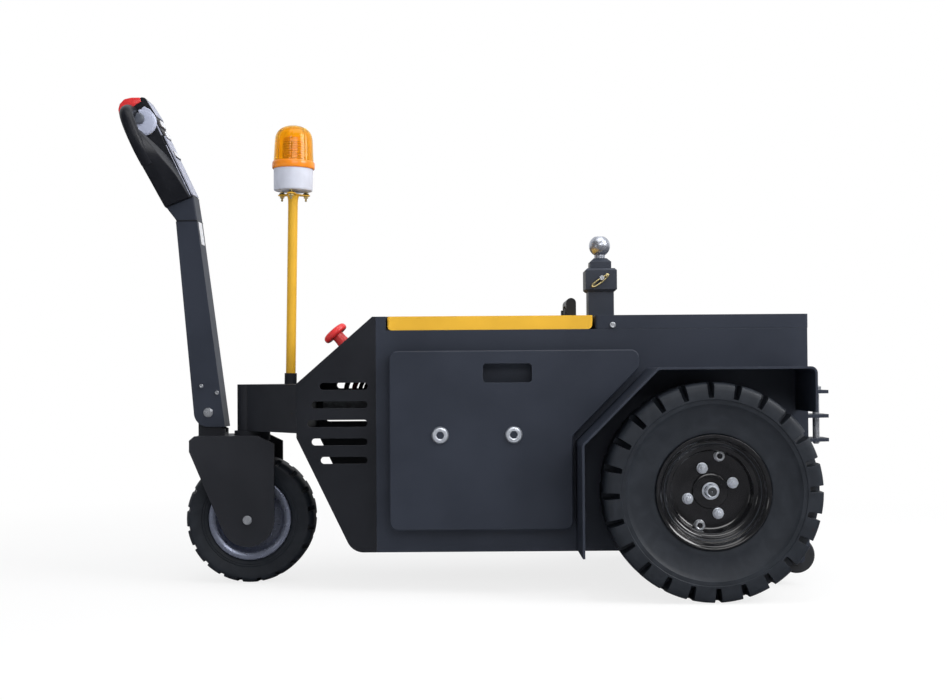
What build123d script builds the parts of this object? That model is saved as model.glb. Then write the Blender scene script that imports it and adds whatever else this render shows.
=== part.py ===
"""Electric tow tractor, walked with a tiller, in millimetres.

+X points to the hitch end, -X to the tiller, +Z up. The floor is Z = 0 and the origin lies under
the middle of the overall length. Facing the tiller end, the left side is -Y.
"""

import os
from math import asin, atan2, cos, hypot, pi, radians, sin, tan

from build123d import *

os.makedirs("parts", exist_ok=True)

# Clearances
SEAT_GAP = 0.3  # between pieces that rest on each other
RUNNING_GAP = 0.05  # radial, shaft in bore
MOVING_GAP = 5.0  # between bodies that move past each other

# Wheels
REAR_AXLE_X = 503.0
REAR_TYRE_R = 232.5
REAR_TYRE_WIDTH = 125.0
REAR_TRACK = 625.0  # between the tyres' middle planes
REAR_SEAT_R = 102.0  # bead seat of the rim
REAR_LUGS = 24  # on each shoulder
REAR_GROOVE_DEPTH = 33.0
STEER_AXIS_X = -527.0
FRONT_TYRE_R = 150.0
FRONT_TYRE_WIDTH = 100.0
FRONT_SEAT_R = 84.0
FRONT_LUGS = 20
FRONT_GROOVE_DEPTH = 13.0

# Body shell
SHEET = 5.0
BODY_HALF_WIDTH = 190.0
BODY_BOTTOM_Z = 89.0
BODY_TOP_Z = 615.0
BODY_REAR_X = 746.7
SEAM_X = -219.0  # where the nose meets the main body
COVER_SKIRT = 31.0  # height of the folded edge of the lid and the rear cover
LID_FRONT_X = -193.0
NOSE_FRONT_X = -397.0
NOSE_SLOPE_FOOT_Z = 465.7
NOSE_SLOPE_TOP_X = -226.5
NOSE_CHIN_Z = 345.0
NOSE_KEEL_X = -272.5  # where the raked chin meets the bottom line
KEEL_RADIUS = 40.0

# Steering
NECK_LOW_Z = 355.5
NECK_HIGH_Z = 464.5
HEAD_TUBE_R = 35.0
NECK_FRONT_HALF = 40.0
KINGPIN_R = 17.5
FORK_TOP_Z = 345.0
FORK_HALF_WIDTH = 75.0
FORK_PLATE = 8.0
FORK_END_R = 62.0
FRONT_AXLE_R = 8.0
TILLER_PIVOT_X = -625.3
TILLER_PIVOT_Z = 399.0
TILLER_PIN_R = 6.0
COLUMN_WIDTH = 66.0
COLUMN_WALL = 4.0
LUG_WIDTH = 50.0

# Tow gear
MAST_X = 302.0
MAST_TUBE = 60.0
MAST_TOP_Z = 678.0
BALL_BAR = 50.0
BALL_R = 25.0
BALL_Z = 788.0
MAST_PIN_X = 303.0
MAST_PIN_Z = 709.0
MAST_PIN_R = 6.0
JAW_PLATE = 8.0
JAW_LEVELS = (325.0, 381.0, 438.0)
JAW_REACH = 89.3  # jaws' end behind the body
TOW_PIN_INSET = 23.0  # pin's axis ahead of the jaws' end
TOW_PIN_R = 8.0

# Beacon
POLE_X = -435.7
POLE_R = 11.5
POLE_LEAN = 1.0  # degrees towards the rear
POLE_TOP_Z = 914.0
BEACON_BASE_R = 46.5
BEACON_FLANGE_R = 51.0
BEACON_TOP_Z = 1081.0

# Small gear
ROLLER_R = 41.0
ROLLER_SETBACK = 15.7  # roller's axle ahead of the body's rear face
ROLLER_Z = 69.0
ROLLER_Y = 120.0
ROLLER_WIDTH = 32.0
BALLAST_THICK = 36.0
BALLAST_BOLT_Z = 350.5
FENDER_REACH = 365.0  # outer edge, from the middle plane

# Places that follow from the sizes above
LID_REAR_X = MAST_X - MAST_TUBE / 2 - MOVING_GAP
COVER_FRONT_X = LID_REAR_X + MOVING_GAP + 1
JAW_END_X = BODY_REAR_X + JAW_REACH
TOW_PIN_X = JAW_END_X - TOW_PIN_INSET
ROLLER_X = BODY_REAR_X - ROLLER_SETBACK


def save(part, node):
    part.label = node
    export_step(part, f"parts/{node}.step")


def upright(y):
    """Sketch plane with X to the rear and local Y up, whose extrusion runs from y towards -Y."""
    return Plane.XZ.offset(-y)


def across(inner, outer, side):
    """Start plane and thickness of a slab between two distances from the middle plane."""
    return upright(max(side * inner, side * outer)), outer - inner


def outline(*points, mode=Mode.ADD):
    """Closed polygon in the sketch that is open, with its points where they are given."""
    Polygon(*points, align=None, mode=mode)


SIDES = (("left", -1), ("right", 1))

# Rear tyres: a plain carcass with the tread cut by grooves that open at each shoulder
# Table of tyres: node, axle X, axle Z, middle Y, radius, width, seat radius, grooves, depth
TYRES = [
    ("rear_tyre_left", REAR_AXLE_X, REAR_TYRE_R, -REAR_TRACK / 2, REAR_TYRE_R, REAR_TYRE_WIDTH,
     REAR_SEAT_R, REAR_LUGS, REAR_GROOVE_DEPTH),
    ("rear_tyre_right", REAR_AXLE_X, REAR_TYRE_R, REAR_TRACK / 2, REAR_TYRE_R, REAR_TYRE_WIDTH,
     REAR_SEAT_R, REAR_LUGS, REAR_GROOVE_DEPTH),
    ("front_tyre", STEER_AXIS_X, FRONT_TYRE_R, 0, FRONT_TYRE_R, FRONT_TYRE_WIDTH,
     FRONT_SEAT_R, FRONT_LUGS, FRONT_GROOVE_DEPTH),
]
RIM_HALF_SHARE = 0.3  # half the bead width over the tyre's width
GROOVE_REACH = 0.08  # inner end of a groove from the middle, over the tyre's width
GROOVE_ROOT = 0.10  # half the groove's width at its root and mouth, over the lugs' pitch
GROOVE_MOUTH = 0.13
FLANGE_RISE = 20.0  # rim flange above the bead seat

for node, axle_x, axle_z, middle_y, radius, width, seat, grooves, depth in TYRES:
    half = width / 2
    bead = RIM_HALF_SHARE * width
    rise = min(FLANGE_RISE, 0.15 * radius)
    with BuildPart() as tyre:
        with BuildSketch(Plane(origin=(axle_x, middle_y, axle_z), x_dir=(1, 0, 0), z_dir=(0, 0, 1))):
            outline(
                (seat, -bead), (seat, bead), (seat + rise, bead + 0.06 * width),
                (seat + rise + 0.1 * radius, half - 3), (radius - depth - 8, half),
                (radius - 6, half - 5), (radius, half - 13),
                (radius, 13 - half), (radius - 6, 5 - half), (radius - depth - 8, -half),
                (seat + rise + 0.1 * radius, 3 - half), (seat + rise, -bead - 0.06 * width),
            )
        revolve(axis=Axis((axle_x, middle_y, axle_z), (0, 1, 0)))
        pitch = 2 * pi * radius / grooves
        for side in (-1, 1):
            turn = 0.25 * 360 / grooves * side
            start, length = across(GROOVE_REACH * width, half + 2, side)
            shifted = start.offset(-middle_y)
            with BuildSketch(Plane(origin=(axle_x, shifted.origin.Y, axle_z), x_dir=(1, 0, 0),
                                   z_dir=(0, -1, 0))):
                with PolarLocations(0, grooves, start_angle=turn):
                    outline((radius - depth, -GROOVE_ROOT * pitch), (radius + 4, -GROOVE_MOUTH * pitch),
                            (radius + 4, GROOVE_MOUTH * pitch), (radius - depth, GROOVE_ROOT * pitch))
            extrude(amount=length, mode=Mode.SUBTRACT)
    save(tyre.part, node)

# Rear rims: a pressed steel wheel whose disc sits deep behind the outer flange
DISC_IN = 25.0  # inner face of the disc from the tyre's middle plane
DISC_OUT = 31.0
RIM_BEAD = RIM_HALF_SHARE * REAR_TYRE_WIDTH
HUB_PILOT_R = 36.0
STUD_CIRCLE_R = 51.0
STUD_R = 6.0
STUD_ANGLES = (19, 109, 199, 289)
RIM_BOLT_R = 77.0
RIM_BOLT_ANGLES = (75, 252)
RIM_SEAT = REAR_SEAT_R - SEAT_GAP
for name, side in SIDES:
    origin = (REAR_AXLE_X, side * REAR_TRACK / 2, REAR_TYRE_R)
    with BuildPart() as rim:
        with BuildSketch(Plane(origin=origin, x_dir=(1, 0, 0), z_dir=(0, 0, 1))):
            outline(
                (RIM_SEAT, -side * (RIM_BEAD - 0.5)), (RIM_SEAT, side * (RIM_BEAD + 0.5)),
                (122, side * (RIM_BEAD + 9.5)), (122, side * (RIM_BEAD + 14)),
                (108, side * (RIM_BEAD + 9)), (96, side * RIM_BEAD), (94, side * DISC_OUT),
                (HUB_PILOT_R, side * DISC_OUT), (HUB_PILOT_R, side * DISC_IN),
                (94, side * DISC_IN), (96, -side * RIM_BEAD), (108, -side * (RIM_BEAD + 9)),
                (122, -side * (RIM_BEAD + 14)), (122, -side * (RIM_BEAD + 9.5)),
                (RIM_SEAT, -side * (RIM_BEAD + 0.5)),
            )
        revolve(axis=Axis(origin, (0, 1, 0)))
        start, length = across(DISC_IN, DISC_OUT, side)
        start = start.offset(-origin[1])
        with BuildSketch(Plane(origin=(REAR_AXLE_X, start.origin.Y, REAR_TYRE_R),
                               x_dir=(1, 0, 0), z_dir=(0, -1, 0))):
            for angle in STUD_ANGLES:
                with Locations((STUD_CIRCLE_R * cos(radians(angle)), STUD_CIRCLE_R * sin(radians(angle)))):
                    Circle(STUD_R + 0.5)
        extrude(amount=length, mode=Mode.SUBTRACT)
        start, length = across(DISC_OUT, DISC_OUT + 9, side)
        start = start.offset(-origin[1])
        with BuildSketch(Plane(origin=(REAR_AXLE_X, start.origin.Y, REAR_TYRE_R),
                               x_dir=(1, 0, 0), z_dir=(0, -1, 0))):
            for angle in RIM_BOLT_ANGLES:
                with Locations((RIM_BOLT_R * cos(radians(angle)), RIM_BOLT_R * sin(radians(angle)))):
                    RegularPolygon(radius=10, side_count=6)
        extrude(amount=length)
    save(rim.part, f"rear_rim_{name}")

# Rear hubs: flange, pilot, four studs with nuts, and the stub shaft in the axle tube
AXLE_TUBE_R = 45.0
AXLE_TUBE_END_Y = 228.0
STUB_R = 22.0
STUB_LENGTH = 60.0
HUB_FLANGE_R = 72.0
for name, side in SIDES:
    middle = side * REAR_TRACK / 2
    origin = (REAR_AXLE_X, middle, REAR_TYRE_R)
    barrel_end = side * (AXLE_TUBE_END_Y + MOVING_GAP) - middle
    stub_end = side * (AXLE_TUBE_END_Y - STUB_LENGTH) - middle
    with BuildPart() as hub:
        with BuildSketch(Plane(origin=origin, x_dir=(1, 0, 0), z_dir=(0, 0, 1))):
            outline(
                (0, stub_end), (STUB_R, stub_end), (STUB_R, barrel_end), (44, barrel_end),
                (48, side * (DISC_IN - 18)), (HUB_FLANGE_R, side * (DISC_IN - 12)),
                (HUB_FLANGE_R, side * (DISC_IN - SEAT_GAP)),
                (HUB_PILOT_R - SEAT_GAP, side * (DISC_IN - SEAT_GAP)),
                (HUB_PILOT_R - SEAT_GAP, side * (DISC_OUT + 10)), (32, side * (DISC_OUT + 14)),
                (18, side * (DISC_OUT + 14)), (18, side * (DISC_OUT + 16)), (0, side * (DISC_OUT + 16)),
            )
        revolve(axis=Axis(origin, (0, 1, 0)))
        # Table of rounds through the disc: radius of the circle, angles, size, sides, near, far
        for ring, angles, size, sides, near, far in (
            (STUD_CIRCLE_R, STUD_ANGLES, STUD_R, 0, DISC_IN - 2, DISC_OUT + 18),
            (STUD_CIRCLE_R, STUD_ANGLES, 11.5, 6, DISC_OUT + SEAT_GAP, DISC_OUT + 12),
            (0, (0,), 17, 6, DISC_OUT + 15, DISC_OUT + 24),
            (0, (0,), 11, 0, DISC_OUT + 23, DISC_OUT + 29),
        ):
            start, length = across(near, far, side)
            start = start.offset(-middle)
            with BuildSketch(Plane(origin=(REAR_AXLE_X, start.origin.Y, REAR_TYRE_R),
                                   x_dir=(1, 0, 0), z_dir=(0, -1, 0))):
                for angle in angles:
                    with Locations((ring * cos(radians(angle)), ring * sin(radians(angle)))):
                        if sides:
                            RegularPolygon(radius=size, side_count=sides)
                        else:
                            Circle(size)
            extrude(amount=length)
    save(hub.part, f"rear_hub_{name}")

# Front wheel: a cast rim on bearings, between the fork plates
FRONT_HUB_R = 26.0
FRONT_BEAD = RIM_HALF_SHARE * FRONT_TYRE_WIDTH
FRONT_RIM_SEAT = FRONT_SEAT_R - SEAT_GAP
FRONT_ORIGIN = (STEER_AXIS_X, 0, FRONT_TYRE_R)
FORK_INNER = FORK_HALF_WIDTH - FORK_PLATE
with BuildPart() as front_rim:
    with BuildSketch(Plane(origin=FRONT_ORIGIN, x_dir=(1, 0, 0), z_dir=(0, 0, 1))):
        outline(
            (FRONT_AXLE_R + RUNNING_GAP, MOVING_GAP - FORK_INNER), (FRONT_HUB_R, MOVING_GAP - FORK_INNER),
            (FRONT_HUB_R + 3, -10), (74, -6), (74, -FRONT_BEAD), (92, -FRONT_BEAD - 11),
            (98, -FRONT_BEAD - 11), (98, -FRONT_BEAD - 7), (FRONT_RIM_SEAT, -FRONT_BEAD - 0.5),
            (FRONT_RIM_SEAT, FRONT_BEAD + 0.5), (98, FRONT_BEAD + 7),
            (98, FRONT_BEAD + 11), (92, FRONT_BEAD + 11), (74, FRONT_BEAD), (74, 6), (FRONT_HUB_R + 3, 10),
            (FRONT_HUB_R, FORK_INNER - MOVING_GAP), (FRONT_AXLE_R + RUNNING_GAP, FORK_INNER - MOVING_GAP),
        )
    revolve(axis=Axis(FRONT_ORIGIN, (0, 1, 0)))
save(front_rim.part, "front_rim")

# Steering fork: two plates, a crown, the kingpin and the lug that carries the tiller
FORK_REAR_X = STEER_AXIS_X + FORK_END_R
FORK_FRONT_X = -662.0
FORK_RAKE = 23.0  # degrees of the front edge from upright
rake_x = STEER_AXIS_X - FORK_END_R * cos(radians(FORK_RAKE))
rake_z = FRONT_TYRE_R - FORK_END_R * sin(radians(FORK_RAKE))
shoulder_z = rake_z + (rake_x - FORK_FRONT_X) / tan(radians(FORK_RAKE))
CROWN_THICK = 12.0
LUG_LOW_REAR_X = -588.0
LUG_FRONT_X = -650.0
COLUMN_FOOT_Z = 365.0
BEARING_R = 42.0
with BuildPart() as fork:
    for side in (-1, 1):
        start, length = across(FORK_INNER, FORK_HALF_WIDTH, side)
        with BuildSketch(start):
            with BuildLine():
                Polyline(
                    (FORK_REAR_X, FRONT_TYRE_R), (FORK_REAR_X, FORK_TOP_Z - 18),
                    (FORK_REAR_X - 37, FORK_TOP_Z), (FORK_FRONT_X + 12, FORK_TOP_Z),
                    (FORK_FRONT_X, FORK_TOP_Z - 10), (FORK_FRONT_X, shoulder_z), (rake_x, rake_z),
                )
                RadiusArc((rake_x, rake_z), (STEER_AXIS_X, FRONT_TYRE_R - FORK_END_R), -FORK_END_R)
                RadiusArc((STEER_AXIS_X, FRONT_TYRE_R - FORK_END_R), (FORK_REAR_X, FRONT_TYRE_R), -FORK_END_R)
            make_face()
            with Locations((STEER_AXIS_X, FRONT_TYRE_R)):
                Circle(FRONT_AXLE_R + RUNNING_GAP, mode=Mode.SUBTRACT)
        extrude(amount=length)
    with BuildSketch(Plane.XY.offset(FORK_TOP_Z - CROWN_THICK)):
        with Locations(((FORK_FRONT_X + FORK_REAR_X - 25) / 2, 0)):
            Rectangle(FORK_REAR_X - FORK_FRONT_X - 49, 2 * FORK_HALF_WIDTH - 2)
    extrude(amount=CROWN_THICK - 0.5)
    with BuildSketch(Plane.XY.offset(FORK_TOP_Z - CROWN_THICK)):
        with Locations((STEER_AXIS_X, 0)):
            Circle(BEARING_R)
    extrude(amount=NECK_LOW_Z - SEAT_GAP - FORK_TOP_Z + CROWN_THICK)
    with BuildSketch(Plane.XY.offset(FORK_TOP_Z)):
        with Locations((STEER_AXIS_X, 0)):
            Circle(KINGPIN_R)
    extrude(amount=NECK_HIGH_Z - 6 - FORK_TOP_Z)
    with BuildSketch(upright(LUG_WIDTH / 2)):
        outline(
            (LUG_FRONT_X, FORK_TOP_Z - 6), (LUG_LOW_REAR_X, FORK_TOP_Z - 6),
            (LUG_LOW_REAR_X, COLUMN_FOOT_Z - MOVING_GAP), (TILLER_PIVOT_X + 27, COLUMN_FOOT_Z),
            (TILLER_PIVOT_X + 24, TILLER_PIVOT_Z + 12), (TILLER_PIVOT_X + 12, TILLER_PIVOT_Z + 24),
            (TILLER_PIVOT_X - 12, TILLER_PIVOT_Z + 24), (LUG_FRONT_X, TILLER_PIVOT_Z),
        )
        with Locations((TILLER_PIVOT_X, TILLER_PIVOT_Z)):
            Circle(TILLER_PIN_R + RUNNING_GAP, mode=Mode.SUBTRACT)
    extrude(amount=LUG_WIDTH)
    with BuildSketch(upright(LUG_WIDTH / 2 - 12)):
        with Locations(((LUG_FRONT_X + LUG_LOW_REAR_X) / 2, TILLER_PIVOT_Z)):
            Rectangle(90, 2 * (TILLER_PIVOT_Z - FORK_TOP_Z - 6))
    extrude(amount=LUG_WIDTH - 24, mode=Mode.SUBTRACT)
save(fork.part, "fork")

# Steering pins: the front axle and the tiller's pivot pin, each with two round heads
# Table of pins: X, Z, shank radius, head radius, half width between the heads, head height
PINS = [
    (STEER_AXIS_X, FRONT_TYRE_R, FRONT_AXLE_R, 11.0, FORK_HALF_WIDTH + SEAT_GAP, 6.0),
    (TILLER_PIVOT_X, TILLER_PIVOT_Z, TILLER_PIN_R, 9.0, COLUMN_WIDTH / 2 + SEAT_GAP, 5.0),
]
with BuildPart() as steering_pins:
    for x, z, shank, head, half, height in PINS:
        with BuildSketch(upright(half + height)):
            with Locations((x, z)):
                Circle(shank)
        extrude(amount=2 * (half + height))
        for side in (-1, 1):
            start, length = across(half, half + height, side)
            with BuildSketch(start):
                with Locations((x, z)):
                    Circle(head)
            extrude(amount=length)
save(steering_pins.part, "steering_pins")

# Tiller column: a tapered channel, open to the front, with a rounded foot about the pivot
COLUMN_TOP_Z = 850.0
COLUMN_LEAN = atan2(40.3, 412.4)  # front edge
COLUMN_REAR_LEAN = atan2(56.5, 412.5)
COLUMN_FOOT_R = 34.0


def column_front_x(z):
    return -659.2 - (z - 428.8) * tan(COLUMN_LEAN)


def column_rear_x(z):
    return -592.3 - (z - 428.3) * tan(COLUMN_REAR_LEAN)


column_rear_foot_x = -586.0
with BuildPart() as tiller_column:
    with BuildSketch(upright(COLUMN_WIDTH / 2)):
        with BuildLine():
            Polyline(
                (TILLER_PIVOT_X, COLUMN_FOOT_Z), (column_rear_foot_x, COLUMN_FOOT_Z),
                (column_rear_x(COLUMN_TOP_Z), COLUMN_TOP_Z), (column_front_x(COLUMN_TOP_Z), COLUMN_TOP_Z),
                (TILLER_PIVOT_X - COLUMN_FOOT_R, TILLER_PIVOT_Z),
            )
            RadiusArc((TILLER_PIVOT_X - COLUMN_FOOT_R, TILLER_PIVOT_Z), (TILLER_PIVOT_X, COLUMN_FOOT_Z),
                      -COLUMN_FOOT_R)
        make_face()
    extrude(amount=COLUMN_WIDTH)
    with BuildSketch(upright(COLUMN_WIDTH / 2 - COLUMN_WALL)):
        outline(
            (column_rear_foot_x - COLUMN_WALL, COLUMN_FOOT_Z - 10),
            (column_rear_x(COLUMN_TOP_Z) - COLUMN_WALL, COLUMN_TOP_Z + 1),
            (column_front_x(COLUMN_TOP_Z) - 40, COLUMN_TOP_Z + 1),
            (column_front_x(COLUMN_FOOT_Z) - 40, COLUMN_FOOT_Z - 10),
        )
    extrude(amount=COLUMN_WIDTH - 2 * COLUMN_WALL, mode=Mode.SUBTRACT)
    with BuildSketch(upright(COLUMN_WIDTH)):
        with Locations((TILLER_PIVOT_X, TILLER_PIVOT_Z)):
            Circle(TILLER_PIN_R + RUNNING_GAP)
    extrude(amount=2 * COLUMN_WIDTH, mode=Mode.SUBTRACT)
save(tiller_column.part, "tiller_column")

# Tiller head: a sleeve on the column, a slim console and a hand loop on each side
HEAD_LEAN = 21.0  # degrees of the console's front face from upright
HEAD_BASE = (-724.5, 885.0)  # front lower corner of the console
HEAD_LENGTH = 256.0
HEAD_FOOT_THICK = 66.5
HEAD_TAPER = 0.075  # loss of thickness per millimetre of length
CONSOLE_HALF = 38.0
CONSOLE_NOSE = 7.0  # front of the console above the loops' feet
GRIP_R = 15.5
GRIP_OUT = 129.5
GRIP_TOP = 233.0
head_plane = Plane(
    origin=(HEAD_BASE[0], 0, HEAD_BASE[1]),
    x_dir=(cos(radians(HEAD_LEAN)), 0, sin(radians(HEAD_LEAN))),
    z_dir=(0, -1, 0),
)
# In that plane, local X crosses the console from front to rear and local Y runs up its length


def rear_face(along):
    """Distance of the console's rear face from its front at that height."""
    return HEAD_FOOT_THICK - HEAD_TAPER * along


def head_section(along, near, rear, ridge, ridge_y, far, side):
    """Section of a loop's foot: its inner edge, the ridge on its rear side and its outer flank."""
    corners = [(1.5, near), (rear, near), (ridge, ridge_y), (0.5 * ridge, far), (6, far), (1.5, far - 5)]
    points = [head_plane.from_local_coords((a, along, -side * y)) for a, y in corners]
    return Face(Wire.make_polygon(points, close=True))


# Table of the loop's centre line: along, distance from the middle plane
LOOP_ROUTE = [
    (96, 104.0), (124, 121.0), (150, 128.0), (178, GRIP_OUT), (201, 127.0), (216, 117.0), (225, 98.0),
    (231, 74.0), (GRIP_TOP, 54.0), (GRIP_TOP, CONSOLE_HALF - 1),
]
# Table of the foot's sections: along, inner edge, its depth, ridge's depth, ridge and flank from the middle
FOOT_SECTIONS = [
    (-2, 30, 64, 62.5, 44, 47), (24, 30, 62.5, 60, 62, 67), (50, 30, 61, 57, 78, 84), (76, 30, 59, 50, 91, 99),
    (95, 32, 56, 44, 100, 110), (106, 42, 50, 43, 107, 117), (120, 66, 46, 41, 115, 125), (135, 92, 41, 37, 121, 133),
    (150, 114, 30, 29, 127, 140),
]
with BuildPart() as tiller_head:
    with BuildSketch(upright(COLUMN_WIDTH / 2 + 1)):
        outline(
            (-698.4, COLUMN_TOP_Z + SEAT_GAP), (-649.4, COLUMN_TOP_Z + SEAT_GAP), (-658.6, 911), (-724.5, 885),
        )
    extrude(amount=COLUMN_WIDTH + 2)
    with BuildSketch(head_plane.offset(-CONSOLE_HALF)):
        outline(
            (0, -2), (rear_face(0), -2), (rear_face(HEAD_LENGTH - 6), HEAD_LENGTH - 6),
            (rear_face(HEAD_LENGTH) - 8, HEAD_LENGTH), (CONSOLE_NOSE + 6, HEAD_LENGTH - 12),
            (CONSOLE_NOSE, HEAD_LENGTH - 24), (CONSOLE_NOSE, 60),
        )
    extrude(amount=2 * CONSOLE_HALF)
    for side in (-1, 1):
        with BuildLine() as route:
            Spline(*[head_plane.from_local_coords((GRIP_R, along, -side * y)) for along, y in LOOP_ROUTE])
        with BuildSketch(Plane(origin=route.line @ 0, z_dir=route.line % 0)):
            Circle(GRIP_R)
        sweep(path=route.line)
        loft([head_section(*section, side) for section in FOOT_SECTIONS], ruled=True)
save(tiller_head.part, "tiller_head")

# Reverse button: the red pad over the console's top end, facing the operator
PAD_HALF = 36.5
with BuildPart() as reverse_button:
    with BuildSketch(head_plane.offset(-PAD_HALF)):
        with BuildLine():
            pad_foot = (CONSOLE_NOSE - SEAT_GAP, HEAD_LENGTH - 24)
            pad_front = (-23, 246)
            pad_top = (4, 271)
            pad_rear = (41, 262)
            pad_heel = (rear_face(HEAD_LENGTH) - 8, HEAD_LENGTH + SEAT_GAP)
            Polyline(pad_heel, (CONSOLE_NOSE + 6 - SEAT_GAP, HEAD_LENGTH - 12 + SEAT_GAP), pad_foot, (-18, 233))
            ThreePointArc((-18, 233), pad_front, (-16, 260))
            ThreePointArc((-16, 260), (-8, 267.5), pad_top)
            Polyline(pad_top, pad_rear, pad_heel)
        make_face()
    extrude(amount=2 * PAD_HALF)
save(reverse_button.part, "reverse_button")

# Throttles: a thumb disc with a knob on each flank of the console
THROTTLE_ALONG = 202.0
THROTTLE_ACROSS = 25.0
THROTTLE_R = 32.0
THROTTLE_CUT = 214.5  # the disc is cut square here, below the loop's bar
KNOB_R = 14.5
KNOB_DROP = 6.0  # knob's middle below the disc's
with BuildPart() as throttles:
    for side in (-1, 1):
        # Table of rounds: radius, drop below the disc's middle, inner and outer distance from the middle plane
        for round_r, drop, near, far in (
            (THROTTLE_R, 0.0, CONSOLE_HALF + SEAT_GAP, CONSOLE_HALF + 14),
            (KNOB_R, KNOB_DROP, CONSOLE_HALF + 13, CONSOLE_HALF + 24),
        ):
            reach = (near, far) if side < 0 else (-far, -near)
            with BuildSketch(head_plane.offset(reach[0])):
                with Locations((THROTTLE_ACROSS, THROTTLE_ALONG - drop)):
                    Circle(round_r)
                outline((-20, THROTTLE_CUT), (34, THROTTLE_CUT), (34, 260), (-20, 260), mode=Mode.SUBTRACT)
            extrude(amount=reach[1] - reach[0])
save(throttles.part, "throttles")

# Neck: the head tube, the box that widens from it to the nose, and the beacon pole's socket
NECK_WALL = 6.0
SOCKET_WALL = 3.0
SOCKET_HEIGHT = 27.0
pole_plane = Plane(
    origin=(POLE_X, 0, NECK_HIGH_Z),
    x_dir=(cos(radians(POLE_LEAN)), 0, -sin(radians(POLE_LEAN))),
    z_dir=(sin(radians(POLE_LEAN)), 0, cos(radians(POLE_LEAN))),
)
with BuildPart() as neck_frame:
    with BuildSketch(Plane.XY.offset(NECK_LOW_Z)):
        outline(
            (STEER_AXIS_X - 5, -NECK_FRONT_HALF), (NOSE_FRONT_X - SEAT_GAP, -BODY_HALF_WIDTH),
            (NOSE_FRONT_X - SEAT_GAP, BODY_HALF_WIDTH), (STEER_AXIS_X - 5, NECK_FRONT_HALF),
        )
        with Locations((STEER_AXIS_X, 0)):
            Circle(HEAD_TUBE_R)
    extrude(amount=NECK_HIGH_Z - NECK_LOW_Z)
    with BuildSketch(Plane.XY.offset(NECK_LOW_Z + NECK_WALL)):
        outline(
            (STEER_AXIS_X + HEAD_TUBE_R + 10, -NECK_FRONT_HALF - 40),
            (NOSE_FRONT_X + 1, -BODY_HALF_WIDTH + 2 * NECK_WALL),
            (NOSE_FRONT_X + 1, BODY_HALF_WIDTH - 2 * NECK_WALL),
            (STEER_AXIS_X + HEAD_TUBE_R + 10, NECK_FRONT_HALF + 40),
        )
    extrude(amount=NECK_HIGH_Z - NECK_LOW_Z - 2 * NECK_WALL, mode=Mode.SUBTRACT)
    with BuildSketch(Plane.XY.offset(NECK_LOW_Z)):
        with Locations((STEER_AXIS_X, 0)):
            Circle(KINGPIN_R + RUNNING_GAP)
    extrude(amount=NECK_HIGH_Z - NECK_LOW_Z - 4, mode=Mode.SUBTRACT)
    with BuildSketch(pole_plane.offset(-1)):
        Circle(POLE_R + SOCKET_WALL)
    extrude(amount=SOCKET_HEIGHT)
    with BuildSketch(pole_plane):
        Circle(POLE_R + RUNNING_GAP)
    extrude(amount=SOCKET_HEIGHT, mode=Mode.SUBTRACT)
save(neck_frame.part, "neck_frame")

# Nose cheeks: the slotted side plates ahead of the seam
# Table of slots: front X, rear X, middle Z
SLOTS = [
    (-344.5, -237, 459.7), (-363, -237.5, 418.6), (-372.5, -238, 376.8),
    (-363, -238, 335.7), (-343, -238, 294.5),
]
SLOT_HEIGHT = 15.6
for name, side in SIDES:
    start, length = across(BODY_HALF_WIDTH - SHEET, BODY_HALF_WIDTH, side)
    with BuildPart() as cheek:
        with BuildSketch(start):
            with BuildLine():
                FilletPolyline(
                    (NOSE_FRONT_X, NOSE_CHIN_Z), (NOSE_KEEL_X, BODY_BOTTOM_Z), (SEAM_X, BODY_BOTTOM_Z),
                    radius=KEEL_RADIUS,
                )
                Polyline(
                    (SEAM_X, BODY_BOTTOM_Z), (SEAM_X, BODY_TOP_Z), (NOSE_SLOPE_TOP_X, BODY_TOP_Z),
                    (NOSE_FRONT_X, NOSE_SLOPE_FOOT_Z), (NOSE_FRONT_X, NOSE_CHIN_Z),
                )
            make_face()
            for front, rear, z in SLOTS:
                with Locations(((front + rear) / 2, z)):
                    SlotOverall(rear - front, SLOT_HEIGHT, mode=Mode.SUBTRACT)
        extrude(amount=length)
    save(cheek.part, f"front_cheek_{name}")

# Nose panel: one bent sheet over the slope and down the front, inside the cheeks
NOSE_HALF = BODY_HALF_WIDTH - SHEET - SEAT_GAP
NOSE_SHEET = 4.0
slope_run = NOSE_SLOPE_TOP_X - NOSE_FRONT_X
slope_rise = BODY_TOP_Z - NOSE_SLOPE_FOOT_Z
slope_length = hypot(slope_run, slope_rise)
inset = NOSE_SHEET / 2  # the sheet's middle line lies this far inside the cheeks' edge


def slope_point(x=None, z=None):
    """Point of the sheet's middle line on the slope, from its X or from its Z."""
    foot_x = NOSE_FRONT_X + inset * slope_rise / slope_length
    foot_z = NOSE_SLOPE_FOOT_Z - inset * slope_run / slope_length
    if x is None:
        return foot_x + (z - foot_z) * slope_run / slope_rise, z
    return x, foot_z + (x - foot_x) * slope_rise / slope_run


with BuildPart() as nose_panel:
    with BuildSketch(upright(NOSE_HALF)):
        with BuildLine():
            Polyline(
                (SEAM_X - SEAT_GAP, BODY_TOP_Z - inset), slope_point(z=BODY_TOP_Z - inset),
                slope_point(x=NOSE_FRONT_X + inset), (NOSE_FRONT_X + inset, NOSE_CHIN_Z),
            )
        trace(line_width=NOSE_SHEET)
    extrude(amount=2 * NOSE_HALF)
save(nose_panel.part, "nose_panel")

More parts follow.
